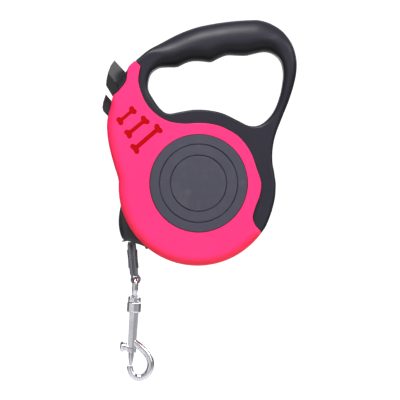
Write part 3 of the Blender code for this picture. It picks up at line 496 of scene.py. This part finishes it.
def gap_outline():
    """The finger opening's edge, and the radius that rolls over at each point."""
    loop = spline(GAP_TOP + GAP_LOW, FINE)
    rolls = []
    for x, z in loop:
        grip = ramp(z, 71.0, 76.0) * ramp(x, -32.0, -20.0) * (1 - ramp(x, 46.0, 53.0))
        bar = max(ramp(x, 30.0, 50.0), 0.8 * ramp(-x, 18.0, 30.0))
        rolls.append(1.3 + 9.0 * grip + 2.6 * bar * (1 - grip))
    return loop, rolls


BRAKE_HEAD = [(-54.6, 79.8), (-47.7, 72.4), (-44.5, 66.5), (-50.5, 55.5), (-56.0, 56.6),
              (-60.1, 63.6), (-59.8, 66.8), (-58.7, 71.5), (-57.1, 76.0)]
LOCK_HEAD = [(-60.2, 57.8), (-56.3, 53.3), (-52.0, 47.0), (-54.5, 43.5), (-58.9, 43.6),
             (-61.9, 46.8), (-62.5, 49.3), (-61.7, 53.4)]
SLIDE = Vector((0.62, 0.0, -0.785)).normalized()
BRAKE_HALF, LOCK_HALF = 7.5, 4.5               # half widths of the two buttons
BRAKE_TRAVEL, LOCK_TRAVEL = 4.0, 3.0
BRAKE_RIDGE = ((-58.1, 71.1), (-52.1, 62.2))
LOCK_RIDGE = ((-61.4, 52.7), (-57.7, 47.3))
BRAKE_STEM = ((-52.0, 65.9), (-28.2, 35.6), 1.5, -8.4, -4.0)
LOCK_STEM = ((-55.0, 47.6), (-36.2, 26.9), 1.3, -4.4, -2.0)
NOZZLE_EDGE = [(-50.2, -13.5), (-51.4, -19.5), (-51.9, -26.0), (-50.9, -32.4), (-48.6, -36.6),
               (-44.0, -38.2), (-38.0, -39.7), (-33.6, -41.6)]
NOZZLE_HALF = 9.0
ROLLER_AT = (-39.6, -33.2)


def swept(outline, travel):
    """Room that a button's outline covers as it slides, with the touching gap added."""
    pts = sorted({*outline, *((x + SLIDE.x * travel, z + SLIDE.z * travel) for x, z in outline)})
    hull = []
    for seq in (pts, pts[::-1]):
        part = []
        for p in seq:
            while len(part) > 1 and ((part[-1][0] - part[-2][0]) * (p[1] - part[-2][1])
                                     - (part[-1][1] - part[-2][1]) * (p[0] - part[-2][0])) <= 0:
                part.pop()
            part.append(p)
        hull += part[:-1]
    return inset(hull, -TOUCH)


def nozzle_outline(grow=0.0):
    outer = spline(NOZZLE_EDGE, FINE, closed=False)
    return inset(outer + [(-30.5, -38.0), (-44.0, -14.0)], -grow)


SCREWS = [(-39.2, 60.2), (-8.0, 89.5), (50.5, 91.5), (43.8, 30.8), (0.0, -46.8), (-48.2, 12.0)]


def gap_cutter():
    """Cutter for the finger opening, its mouth rolled over more along the grip."""
    hole, rolls = gap_outline()
    rolls = smoothed(rolls, 10)
    rings, steps, moved, done = [[(x, PAST, z) for x, z in hole]], 14, hole, 0.0
    for k in range(steps + 1):
        turn = 0.5 * math.pi * k / steps
        reach = 1 - math.cos(turn)
        moved = relaxed(inset(moved, [-r * (reach - done) for r in rolls]),
                        [min(1.0, r / 9) if k else 0.0 for r in rolls])
        done = reach
        rings.append([(x, -SHELL_FACE + r * (1 - math.sin(turn)), z)
                      for (x, z), r in zip(moved, rolls)])
    rings.append([(x, -SHELL_FACE - PAST, z) for x, _, z in rings[-1]])
    return solid("gap_cut", rings)


def shells():
    loop, radii = silhouette()
    front = rolled("shell_front", loop, smoothed(radii, 12), -SPLIT, SHELL_FACE, 16, 0.85)
    skirt = prism("skirt", inset(cover_outline()[0], -TOUCH), -COVER_FACE, PAST)
    cut(skirt, under_cover("inside", COVER_SKIN + TOUCH, SHELL_FACE + 0.02),
        prism("ledge", LEDGE_BLOCK, -OUTSIDE, 2 * PAST))
    cut(front, skirt)
    channel = [(-46.0, 8.0), (-38.0, 8.0), (-40.0, -42.5), (-47.2, -42.5)]
    cut(front, gap_cutter(),
        rod("chamber", 45.0, -10.9, PAST, sides=96),
        prism("channel", channel, -7.0, PAST),
        prism("slot", swept(BRAKE_HEAD, BRAKE_TRAVEL), -BRAKE_HALF - TOUCH, PAST),
        prism("lock_slot", swept(LOCK_HEAD, LOCK_TRAVEL), -LOCK_HALF - TOUCH, PAST))
    seat = prism("nozzle_seat", nozzle_outline(TOUCH), -NOZZLE_HALF - TOUCH, PAST)
    cut(front, cut(seat, prism("keep", skirt_inside(4.9), -OUTSIDE, 2 * PAST)))
    beside_brake = ((-45.2, 73.2), (-53.4, 58.6))
    cut(front, wedge(beside_brake, SHELL_FACE, -1, 13.0, 9.0))
    rear = mirrored(front, "shell_rear")
    for at in SCREWS:
        cut(rear, rod("sink", 2.9, 11.0, OUTSIDE, at, 32))
    piece(front, BLACK, "housing", ["front_shell"])
    piece(rear, BLACK, "housing", ["rear_shell"])


BONES = [((-43.1, 48.0), (-41.5, 46.1), (-51.4, 41.0), (-50.1, 38.9), 1.0),
         ((-35.6, 41.9), (-33.2, 39.6), (-46.3, 32.9), (-44.5, 30.4), 1.15),
         ((-26.9, 36.7), (-24.8, 33.8), (-42.4, 23.7), (-39.8, 20.5), 1.3)]
PLATE = [(-44.5, 51.5), (-38.5, 46.5), (-31.5, 45.0), (-25.5, 40.2), (-22.0, 34.5), (-26.0, 29.5),
         (-37.5, 17.5), (-41.5, 17.8), (-46.5, 26.5), (-52.5, 36.5), (-54.0, 41.5), (-49.5, 46.5)]


def bone(upper, upper2, lower, lower2, half, grow=0.0):
    """Outline of a bone from its four lobes' centres and its shaft's half width."""
    up, low = (tuple((a + b) / 2 for a, b in zip(p, q)) for p, q in
               ((upper, upper2), (lower, lower2)))
    along = Vector((up[0] - low[0], up[1] - low[1])).normalized()
    side = Vector((along.y, -along.x))
    loop, half, lobe = [], half + grow, 1.55 + grow
    for end, right, left, way in ((up, upper2, upper, 1), (low, lower, lower2, -1)):
        base = math.degrees(math.atan2(along.y * way, along.x * way))
        s = side * way
        loop.append((end[0] + s.x * half - way * along.x * 2.2,
                     end[1] + s.y * half - way * along.y * 2.2))
        loop += arc(right, lobe, base - 135, base + 20, 12)
        notch = way * (1.2 + grow)
        loop.append((end[0] + along.x * notch, end[1] + along.y * notch))
        loop += arc(left, lobe, base - 20, base + 135, 12)
        loop.append((end[0] - s.x * half - way * along.x * 2.2,
                     end[1] - s.y * half - way * along.y * 2.2))
    return loop


def covers():
    loop, weight = cover_outline()
    front = rolled("cover_front", loop, [max(0.3, COVER_ROLL * w) for w in smoothed(weight, 4)],
                   -SPLIT, COVER_FACE, 14, 0.62)
    cut(front, under_cover("core", COVER_SKIN, SHELL_FACE + TOUCH),
        prism("ledge", inset(LEDGE_BLOCK, -TOUCH), -SHELL_FACE - TOUCH, PAST),
        rod("plate_hole", DISC_R + TOUCH, -OUTSIDE, PAST, sides=160),
        prism("nozzle_gap", nozzle_outline(TOUCH), -NOZZLE_HALF - TOUCH, PAST),
        prism("brake_gap", swept(BRAKE_HEAD, BRAKE_TRAVEL), -BRAKE_HALF - TOUCH, PAST),
        prism("lock_gap", swept(LOCK_HEAD, LOCK_TRAVEL), -LOCK_HALF - TOUCH, PAST),
        prism("insert_bay", inset(PLATE, -TOUCH), -14.2, PAST))
    insert = prism("bones_front", PLATE, -13.9, -13.3)
    for lobes in BONES:
        cut(front, prism("window", bone(*lobes, 0.12), -OUTSIDE, PAST))
        join(insert, prism("raised", bone(*lobes), -14.85, -13.7))
    rear, back = mirrored(front, "cover_rear"), mirrored(insert, "bones_rear")
    piece(front, PINK, "housing", ["front_cover"], bevel=0.12)
    piece(rear, PINK, "housing", ["rear_cover"], bevel=0.12)
    piece(insert, RED, "housing", ["front_bone_insert"], bevel=0.1)
    piece(back, RED, "housing", ["rear_bone_insert"], bevel=0.1)


def discs():
    face, groove_radii = -COVER_FACE - DISC_PROUD, (18.1, 25.2)
    profile = [(0.02, face)]
    for r in groove_radii:
        profile += [(r - 0.42, face), (r - 0.32, face + 0.1), (r - 0.28, face + 0.95),
                    (r + 0.28, face + 0.95), (r + 0.32, face + 0.1), (r + 0.42, face)]
    profile += [(DISC_R - 0.6, face), (DISC_R - 0.25, face + 0.08), (DISC_R - 0.05, face + 0.35),
                (DISC_R, face + 0.7), (DISC_R, -13.3), (0.02, -13.3)]
    front = turned("plate_front", profile, 160)
    rear = mirrored(front, "plate_rear")
    cut(rear, rod("screw_room", 4.0, 10.0, 14.9, sides=32))
    piece(front, GREY, "housing", ["front_disc"])
    piece(rear, GREY, "housing", ["rear_disc"])


# ------------------------------------------------------------ nozzle, buttons
def nozzle():
    outline = nozzle_outline()
    count = len(outline) - 2
    bulge = [0.4 + (4.0 + 4.6 * ramp(z, -37.5, -27.0)) * ramp(i, 0, 16) * ramp(count - 1 - i, 0, 12)
             for i, (_, z) in enumerate(outline)]
    front = rolled("nozzle_bulb", outline, smoothed(bulge[:count], 6) + [0.4, 0.4], 1.0,
                   NOZZLE_HALF, 12, 0.75)
    join(front, mirrored(front, "other"))
    join(front, rod("catch", 1.25, -2.6, 2.6, (-33.6, -41.4), 24, "Y", 0.4),
         prism("lip", [(-47.2, -36.4), (-49.9, -37.3), (-49.5, -37.9), (-47.2, -37.6)], -5.6, 5.6))
    slot = [(-44.9, -10.0), (-40.6, -10.0), (-40.6, -37.0), (-39.6, -42.5), (-47.4, -42.5),
            (-46.6, -37.0)]
    cut(front, prism("core", skirt_inside(4.6), -OUTSIDE, OUTSIDE),
        prism("slot", slot, -7.0, 7.0),
        rod("roller_room", 3.0, -7.0, 7.0, ROLLER_AT, 40),
        rod("pin_bore", 1.3, -8.2, 12.0, ROLLER_AT, 24))
    piece(front, GLOSS, "housing", ["nozzle"], bevel=0.25)


def wedge(ridge, half, way, back, reach=20.0, run=14.0):
    """Cutter that slopes a face away from a ridge, down by back at a distance of run from it.

    half is the ridge's distance from the mid-plane, way is -1 in front and 1 behind, and a run
    below 0 slopes the face on the ridge's other side.
    """
    (x0, z0), (x1, z1) = ridge
    along = Vector((x1 - x0, z1 - z0)).normalized() * reach
    side = Vector((along.y, -along.x)).normalized() * run
    rings = []
    for sign in (-1, 1):
        x, z = (x0 + x1) / 2 + along.x * sign, (z0 + z1) / 2 + along.y * sign
        rings.append([(x, way * half, z), (x + side.x, way * (half - back), z + side.y),
                      (x + side.x, way * (half + 6), z + side.y), (x, way * (half + 6), z)])
    return solid("wedge", rings if run > 0 else rings[::-1])


def rib(ridge, y):
    """Rounded bead along the ridge between a button's cheeks, wider at its lower end."""
    (x0, z0), (x1, z1) = ridge
    along = Vector((x1 - x0, 0.0, z1 - z0)).normalized()
    side = along.cross(Vector((0, 1, 0)))
    rings = []
    for t, r in ((-0.03, 0.1), (0.0, 0.3), (0.3, 0.4), (0.7, 0.48), (0.95, 0.52), (1.0, 0.2)):
        mid = Vector((x0, y, z0)).lerp(Vector((x1, y, z1)), t)
        rings.append([mid + side * (r * math.cos(math.pi * k / 8))
                      + Vector((0, 1, 0)) * (r * math.sin(math.pi * k / 8)) for k in range(16)])
    return solid("rib", rings)


def buttons():
    for name, head, half, ridge, stem, node, body in (
            ("thumb_brake", BRAKE_HEAD, BRAKE_HALF, BRAKE_RIDGE, BRAKE_STEM, "brake_button", "brake"),
            ("thumb_lock", LOCK_HEAD, LOCK_HALF, LOCK_RIDGE, LOCK_STEM, "lock_button", "lock")):
        back = [1.0 if x < -53.5 else 0.4 for x, _ in head]
        obj = solid(name, [[(x, y, z) for x, z in inset(head, [b * k for b in back])]
                           for y, k in ((-half, 0.5), (-half + 0.6, 0.0), (half - 0.6, 0.0),
                                        (half, 0.5))])
        for way in (-1, 1):
            cut(obj, wedge(ridge, half, way, 9.0))
            cut(obj, wedge(ridge, half, way, 6.0, run=-14.0))
            join(obj, rib(ridge, way * (half - 0.42)))
        (ax, az), (bx, bz), w, y0, y1 = stem
        along = Vector((bx - ax, bz - az)).normalized() * w
        join(obj, prism("stem", [(ax - along.y, az + along.x), (bx - along.y, bz + along.x),
                                 (bx + along.y, bz - along.x), (ax + along.y, az - along.x)],
                        y0, y1))
        piece(obj, GLOSS, body, [node], sharp=20.0, bevel=0.5)


# ------------------------------------------------------------ tape, strap and stitching
SELVEDGE = 5.75                                # half width of the strap's webbing
SEWN = range(7, 24)                            # steps of the strap that carry stitches


def ribbon():
    """Tape from the coil to the strap."""
    run = spline([(-40.65, 0.0), (-41.9, -16.0), (-42.9, -29.0), EXIT_AT], 8, closed=False)
    run.append((EXIT_AT[0] - 0.03, EXIT_AT[1] - 1.0))
    rings = [[(x + dx, y, z) for dx, y in ((-0.33, -5.9), (0.33, -5.9), (0.36, 0.0),
                                           (0.33, 5.9), (-0.33, 5.9), (-0.36, 0.0))]
             for x, z in run]
    obj = solid("tape_ribbon", rings)
    obj.data.materials.append(WEB)
    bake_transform(obj)
    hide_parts("tape_run")


def band(name, path, thick, half, ribs=0.0):
    """Flat webbing along a path in x and z with rounded selvedges and a slight swell at each rib."""
    rings, run, step = [], 0.0, 1.5
    for i, p in enumerate(path):
        a, b = path[max(i - 1, 0)], path[min(i + 1, len(path) - 1)]
        along = Vector((b[0] - a[0], b[1] - a[1])).normalized()
        side = Vector((-along.y, along.x))
        run += (Vector(p) - Vector(a)).length
        swell = 1 + ribs * math.sin(2 * math.pi * run / step)
        ring = []
        for t in range(16):
            turn = 2 * math.pi * t / 16
            c, s = math.cos(turn), math.sin(turn)
            y = half * (abs(s) ** 0.25) * (1 if s >= 0 else -1)
            off = thick / 2 * swell * (abs(c) ** 0.6) * (1 if c >= 0 else -1)
            ring.append((p[0] + side.x * off, y, p[1] + side.y * off))
        rings.append(ring)
    return solid(name, rings)


def strap():
    """Webbing folded into two legs round the eye's top bar and sewn through."""
    hx, hz = HINGE_AT
    ex, ez = EXIT_AT
    left, right = [], []
    for i in range(31):
        t = i / 30
        x, z = ex + 0.2 + (hx - ex - 1.2) * t, ez + 0.1 + (hz + 3.2 - ez - 0.1) * t
        wave = 0.10 * math.sin(t * 9)
        open_out = 0.74 + 0.26 * ramp(i, 0, 3)
        left.append((x - (1.55 + wave + 0.2 * (1 - t)) * open_out, z))
        right.append((x + (1.5 + wave) * open_out, z))
    webbed = band("strap_folded", left, 2.1, SELVEDGE, ribs=0.015)
    fold = band("fold_right", right, 2.1, SELVEDGE, ribs=0.015)
    loop = [left[-2], left[-1]] + arc((hx, hz), 2.6, 150, 390, 12) + [right[-1], right[-2]]
    turn = band("fold_loop", spline(loop, 3, closed=False), 1.35, SELVEDGE)
    core = prism("core", [(x + 0.2, z) for x, z in left[1:-1]]
                 + [(hx - 1.1, hz + 2.1), (hx + 1.1, hz + 2.1)]
                 + [(x - 0.2, z) for x, z in right[1:-1][::-1]], -3.8, 3.8)
    join(webbed, fold, turn, core)
    piece(webbed, WEB, "strap", ["leash_strap"], sharp=60.0)
    stitches(left, right)


def stitches(left, right):
    """Saw-tooth box stitching over both edges of the fold, and rows across its faces."""
    bm = bmesh.new()

    def thread(a, b, r):
        a, b = Vector(a), Vector(b)
        along = (b - a).normalized()
        out = along.cross(Vector((0.3, 0.9, 0.1))).normalized()
        up = along.cross(out)
        rows = []
        for t, grow in ((0.0, 0.35), (0.15, 0.9), (0.5, 1.0), (0.85, 0.9), (1.0, 0.35)):
            mid = a.lerp(b, t)
            rows.append([bm.verts.new(mid + (out * math.cos(k * math.pi / 3)
                                             + up * math.sin(k * math.pi / 3)) * r * grow)
                         for k in range(6)])
        for lo, hi in zip(rows, rows[1:]):
            for k in range(6):
                bm.faces.new((lo[k], lo[(k + 1) % 6], hi[(k + 1) % 6], hi[k]))
        bm.faces.new(rows[0])
        bm.faces.new(rows[-1])

    for side, way in ((left, -1), (right, 1)):
        for i in SEWN:
            (x0, z0), (x1, z1) = side[i], side[i + 1]
            face = way * 1.3
            for y in (-5.0, -2.4, 0.0, 2.4, 5.0):
                thread((x0 + face, y, z0), (x1 + face, y + (0.5 if i % 2 else -0.5), z1), 0.34)
    for i in SEWN:
        (x0, z0), (x1, z1) = right[i], right[i + 1]
        for y in (-SELVEDGE, SELVEDGE):
            thread((x0 + 0.2, y, z0), ((x0 + x1) / 2 + 1.5, y * 0.985, (z0 + z1) / 2), 0.26)
            thread(((x0 + x1) / 2 + 1.5, y * 0.985, (z0 + z1) / 2), (x1 + 0.2, y, z1), 0.26)
    obj = link("strap_stitching", bm)
    obj.data.materials.append(THREAD)
    obj.data.shade_smooth()
    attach(obj, "strap")


# ------------------------------------------------------------ swivel snap, in its own leaning frame
def ring_bar(name, loop, radius, flat):
    """Closed bar bent round a loop in y and z; flat is its half thickness in x."""
    rings, sides = [], 20
    for i, (y, z) in enumerate(loop):
        a, b = loop[i - 1], loop[(i + 1) % len(loop)]
        along = Vector((0.0, b[0] - a[0], b[1] - a[1])).normalized()
        side = along.cross(Vector((1, 0, 0)))
        rings.append([Vector((0.0, y, z)) + side * (radius * math.cos(2 * math.pi * k / sides))
                      + Vector((flat, 0, 0)) * (radius * math.sin(2 * math.pi * k / sides))
                      for k in range(sides)])
    return solid(name, rings, wrap=True, place=SNAP)


def bar(name, path, radii):
    """Round bar along a path in x and z, with a radius at each point."""
    rings, sides = [], 24
    for i, p in enumerate(path):
        a, b = path[max(i - 1, 0)], path[min(i + 1, len(path) - 1)]
        along = Vector((b[0] - a[0], 0.0, b[1] - a[1])).normalized()
        side, r = Vector((-along.z, 0.0, along.x)), radii[i]
        rings.append([Vector((p[0], 0.0, p[1])) + side * (r * math.cos(2 * math.pi * k / sides))
                      + Vector((0, 1, 0)) * (r * math.sin(2 * math.pi * k / sides))
                      for k in range(sides)])
    return solid(name, rings, place=SNAP)


def swivel_eye():
    """Ring that hangs in the strap's loop, with the headed stem that the snap turns on."""
    w, top, low, long = 8.2, 3.0, 3.4, 9.3     # half width, corner radii and length of the ring
    loop = (arc((top - w, -top), top, 180, 90, 10) + arc((w - top, -top), top, 90, 0, 10)
            + arc((w - low, low - long), low, 0, -90, 10)
            + arc((low - w, low - long), low, -90, -180, 10))
    eye = ring_bar("eye_ring", loop, 1.7, flat=1.06)
    join(eye, rod("stem", 1.5, -16.0, -8.9, sides=40, axis="Z", place=SNAP),
         rod("neck", 2.2, -11.2, -10.3, sides=40, axis="Z", edge=0.35, place=SNAP),
         rod("stem_head", 2.3, -16.2, -14.4, sides=40, axis="Z", edge=0.4, place=SNAP))
    piece(eye, CHROME, "eye", ["swivel_eye"], bevel=0.08)


def snap_body():
    """Barrel and collar, with the hook that runs back up to the bolt's tip."""
    body = rod("snap_barrel", 4.5, -21.6, -14.9, sides=8, axis="Z", edge=0.8, place=SNAP)
    join(body, rod("collar", 4.1, -15.4, -11.6, sides=8, axis="Z", edge=0.4, place=SNAP),
         rod("lug_a", 1.1, -12.2, -11.3, (-2.9, 0.0), 24, "Z", 0.4, SNAP),
         rod("lug_b", 1.1, -12.2, -11.3, (2.9, 0.0), 24, "Z", 0.4, SNAP))
    for way in (-1, 1):
        cut(body, rod("hole_a", 0.75, way * 9.0, way * 0.9, (-2.75, -14.1), 24, "Y", 0.0, SNAP),
            rod("hole_b", 0.9, way * 9.0, way * 0.9, (2.75, -14.3), 24, "Y", 0.0, SNAP))
    barrel, turned_by = [], 34
    for z, r in ((-20.6, 3.0), (-21.8, 3.4), (-24.0, 3.35), (-33.0, 3.2), (-40.0, 3.05),
                 (-44.6, 2.95), (-45.0, 3.4), (-47.2, 3.4), (-47.6, 3.0)):
        barrel.append([(0.1 + r * math.cos(math.radians(60 * i + turned_by)),
                        r * math.sin(math.radians(60 * i + turned_by)), z) for i in range(6)])
    join(body, solid("barrel", barrel, place=SNAP))
    hook = spline([(2.4, -41.6), (6.5, -44.4), (10.3, -48.0), (12.7, -52.5), (12.9, -56.8),
                   (11.0, -61.0), (7.7, -63.4), (4.2, -63.6), (1.5, -61.7), (-0.1, -58.6),
                   (-0.3, -56.5)], 7, closed=False)
    hook = [(0.9, -40.6), (1.5, -41.0)] + hook
    count = len(hook) - 1
    join(body, bar("hook", hook, [2.45 - 0.55 * i / count for i in range(count + 1)]))
    cut(body, rod("eye_bore", 1.8, -16.5, 0.0, sides=40, axis="Z", place=SNAP),
        rod("head_room", 2.6, -16.5, -13.6, sides=40, axis="Z", place=SNAP),
        rod("bolt_bore", 2.1, -48.6, -25.3, sides=32, axis="Z", place=SNAP),
        prism("knob_slot", [(-6.0, -46.6), (0.0, -46.6), (0.0, -36.1), (-6.0, -36.1)],
              -1.3, 1.3, SNAP))
    piece(body, CHROME, "snap", ["snap_body"], sharp=30.0, bevel=0.22)


def snap_bolt():
    """Sliding bolt with its ridged thumb knob."""
    shaft = [(1.3, -34.0), (1.8, -34.4), (1.8, -49.0), (1.6, -51.5), (1.15, -54.4), (0.9, -55.7),
             (0.55, -56.0)]
    bolt = solid("snap_gate", [[(r * math.cos(2 * math.pi * i / 24),
                                 r * math.sin(2 * math.pi * i / 24), z) for i in range(24)]
                               for r, z in shaft], place=SNAP)
    knob = [(1.0, 0.0), (1.0, -3.2), (2.6, -3.3), (2.85, -3.6), (2.6, -3.95), (1.9, -4.1),
            (1.9, -4.35), (2.9, -4.5), (3.15, -4.85), (2.9, -5.2), (2.2, -5.35), (2.2, -5.6),
            (3.2, -5.75), (3.4, -6.2), (3.2, -6.9), (2.5, -7.35), (1.3, -7.58), (0.3, -7.6)]
    join(bolt, solid("knob", [[(x, r * math.cos(2 * math.pi * i / 32),
                                -44.1 + r * math.sin(2 * math.pi * i / 32)) for i in range(32)]
                              for r, x in knob], place=SNAP))
    piece(bolt, CHROME, "bolt", ["snap_bolt"], sharp=35.0)


def snap_spring():
    """Coil behind the bolt."""
    steps, turns, radius, wire, top, length = 16, 6, 1.5, 0.2, -25.7, 8.0
    coil = []
    for i in range(steps * turns + 1):
        turn, z = 2 * math.pi * i / steps, top - length * i / (steps * turns)
        out = Vector((math.cos(turn), math.sin(turn), 0.0))
        coil.append([out * (radius + wire * math.cos(math.pi * k / 4))
                     + Vector((0.0, 0.0, z + wire * math.sin(math.pi * k / 4)))
                     for k in range(8)])
    spring = solid("snap_coil", coil, place=SNAP)
    spring.data.materials.append(STEEL)
    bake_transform(spring)
    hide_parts("snap_spring")


# ------------------------------------------------------------ camera, light and floor
def look():
    """Camera square to the front face, level with the middle of the whole object."""
    scene = bpy.context.scene
    scene.view_settings.view_transform = "Standard"
    wide, distance = 260.0, 1600.0                 # field at the mid-plane, and camera distance
    camera = bpy.data.cameras.new("camera")
    camera.sensor_width = 36.0
    camera.lens = 36.0 * distance / wide
    camera.clip_start, camera.clip_end = 0.01, 100.0
    holder = bpy.data.objects.new("camera", camera)
    scene.collection.objects.link(holder)
    holder.location = HOME @ Vector((0.9, -distance, -10.8))
    holder.rotation_euler = (math.pi / 2, 0.0, 0.0)
    scene.camera = holder


def floor():
    """Pale floor that curves up into a backdrop and glows far behind the object."""
    world = bpy.data.worlds.new("studio")
    bpy.context.scene.world = world
    world.use_nodes = True
    world.node_tree.nodes["Background"].inputs["Color"].default_value = (1.0, 1.0, 1.0, 1.0)
    world.node_tree.nodes["Background"].inputs["Strength"].default_value = 0.10

    mat, tree, shader = nodes_of("pale_floor")
    where = add(tree, "ShaderNodeTexCoord").outputs["Object"]
    tree.links.new(mixed(tree, remap(tree, noise(tree, where, 0.8), 0.3, 0.7),
                         (0.94, 0.94, 0.94), (0.96, 0.96, 0.96)), shader.inputs["Base Color"])
    shader.inputs["Roughness"].default_value = 0.9
    part = add(tree, "ShaderNodeSeparateXYZ")
    tree.links.new(where, part.inputs[0])
    glow = maths(tree, "MULTIPLY", remap(tree, part.outputs["Y"], 1.4, 3.0),
                 remap(tree, maths(tree, "ABSOLUTE", part.outputs["X"]), 1.6, 3.2, 1.0, 0.0))
    tree.links.new(maths(tree, "MULTIPLY", glow, 0.85), shader.inputs["Emission Strength"])
    shader.inputs["Emission Color"].default_value = (1.0, 1.0, 1.0, 1.0)
    bm = bmesh.new()
    rows = []
    for i in range(25):
        x = -8.0 + 16.0 * i / 24
        rows.append([bm.verts.new((x, y, z)) for y, z in
                     [(-6.0, 0.0), (0.0, 0.0), (4.0, 0.0)]
                     + [(4.0 + 3.0 * math.sin(t * math.pi / 20),
                         3.0 - 3.0 * math.cos(t * math.pi / 20)) for t in range(1, 11)]
                     + [(7.0, 9.0)]])
    for a, b in zip(rows, rows[1:]):
        for j in range(len(a) - 1):
            bm.faces.new((a[j], b[j], b[j + 1], a[j + 1]))
    mesh = bpy.data.meshes.new("floor")
    bm.to_mesh(mesh)
    bm.free()
    mesh.shade_smooth()
    ground = bpy.data.objects.new("floor", mesh)
    ground.location.z = -0.8
    bpy.context.scene.collection.objects.link(ground)
    ground.data.materials.append(mat)


# name, place from the reel's axis in metres, size and power; a card lights reflections only
LAMPS = [("key", (-0.2, -0.8, 1.15), 0.45, 20.0),
         ("side", (0.85, -0.75, 0.55), 0.3, 2.5),
         ("front", (-0.6, -1.8, 0.2), 2.0, 3.5),
         ("card_front", (0.0, -1.85, 0.1), 1.2, 1.2),
         ("card_left", (-1.3, -1.0, -0.15), 1.2, 2.5),
         ("card_right", (1.4, -0.9, -0.15), 1.1, 1.0),
         ("card_ridge", (0.85, -0.75, 0.55), 0.4, 4.5),
         ("fill", (0.9, -1.0, 0.35), 0.8, 2.4),
         ("top", (0.0, -0.3, 1.1), 0.4, 2.0),
         ("rim", (0.9, 1.0, 0.5), 0.6, 3.5)]


def lamps():
    for name, at, size, power in LAMPS:
        light = bpy.data.lights.new(name, "AREA")
        light.size, light.energy = size, power
        light.diffuse_factor = 0.0 if name.startswith("card") else 1.0
        lamp = bpy.data.objects.new(name, light)
        bpy.context.scene.collection.objects.link(lamp)
        lamp.location = REEL + Vector(at)
        lamp.rotation_euler = (-Vector(at)).to_track_quat("-Z", "Y").to_euler()


look()
floor()
lamps()
shells()
covers()
discs()
nozzle()
buttons()
ribbon()
strap()
swivel_eye()
snap_body()
snap_bolt()
snap_spring()
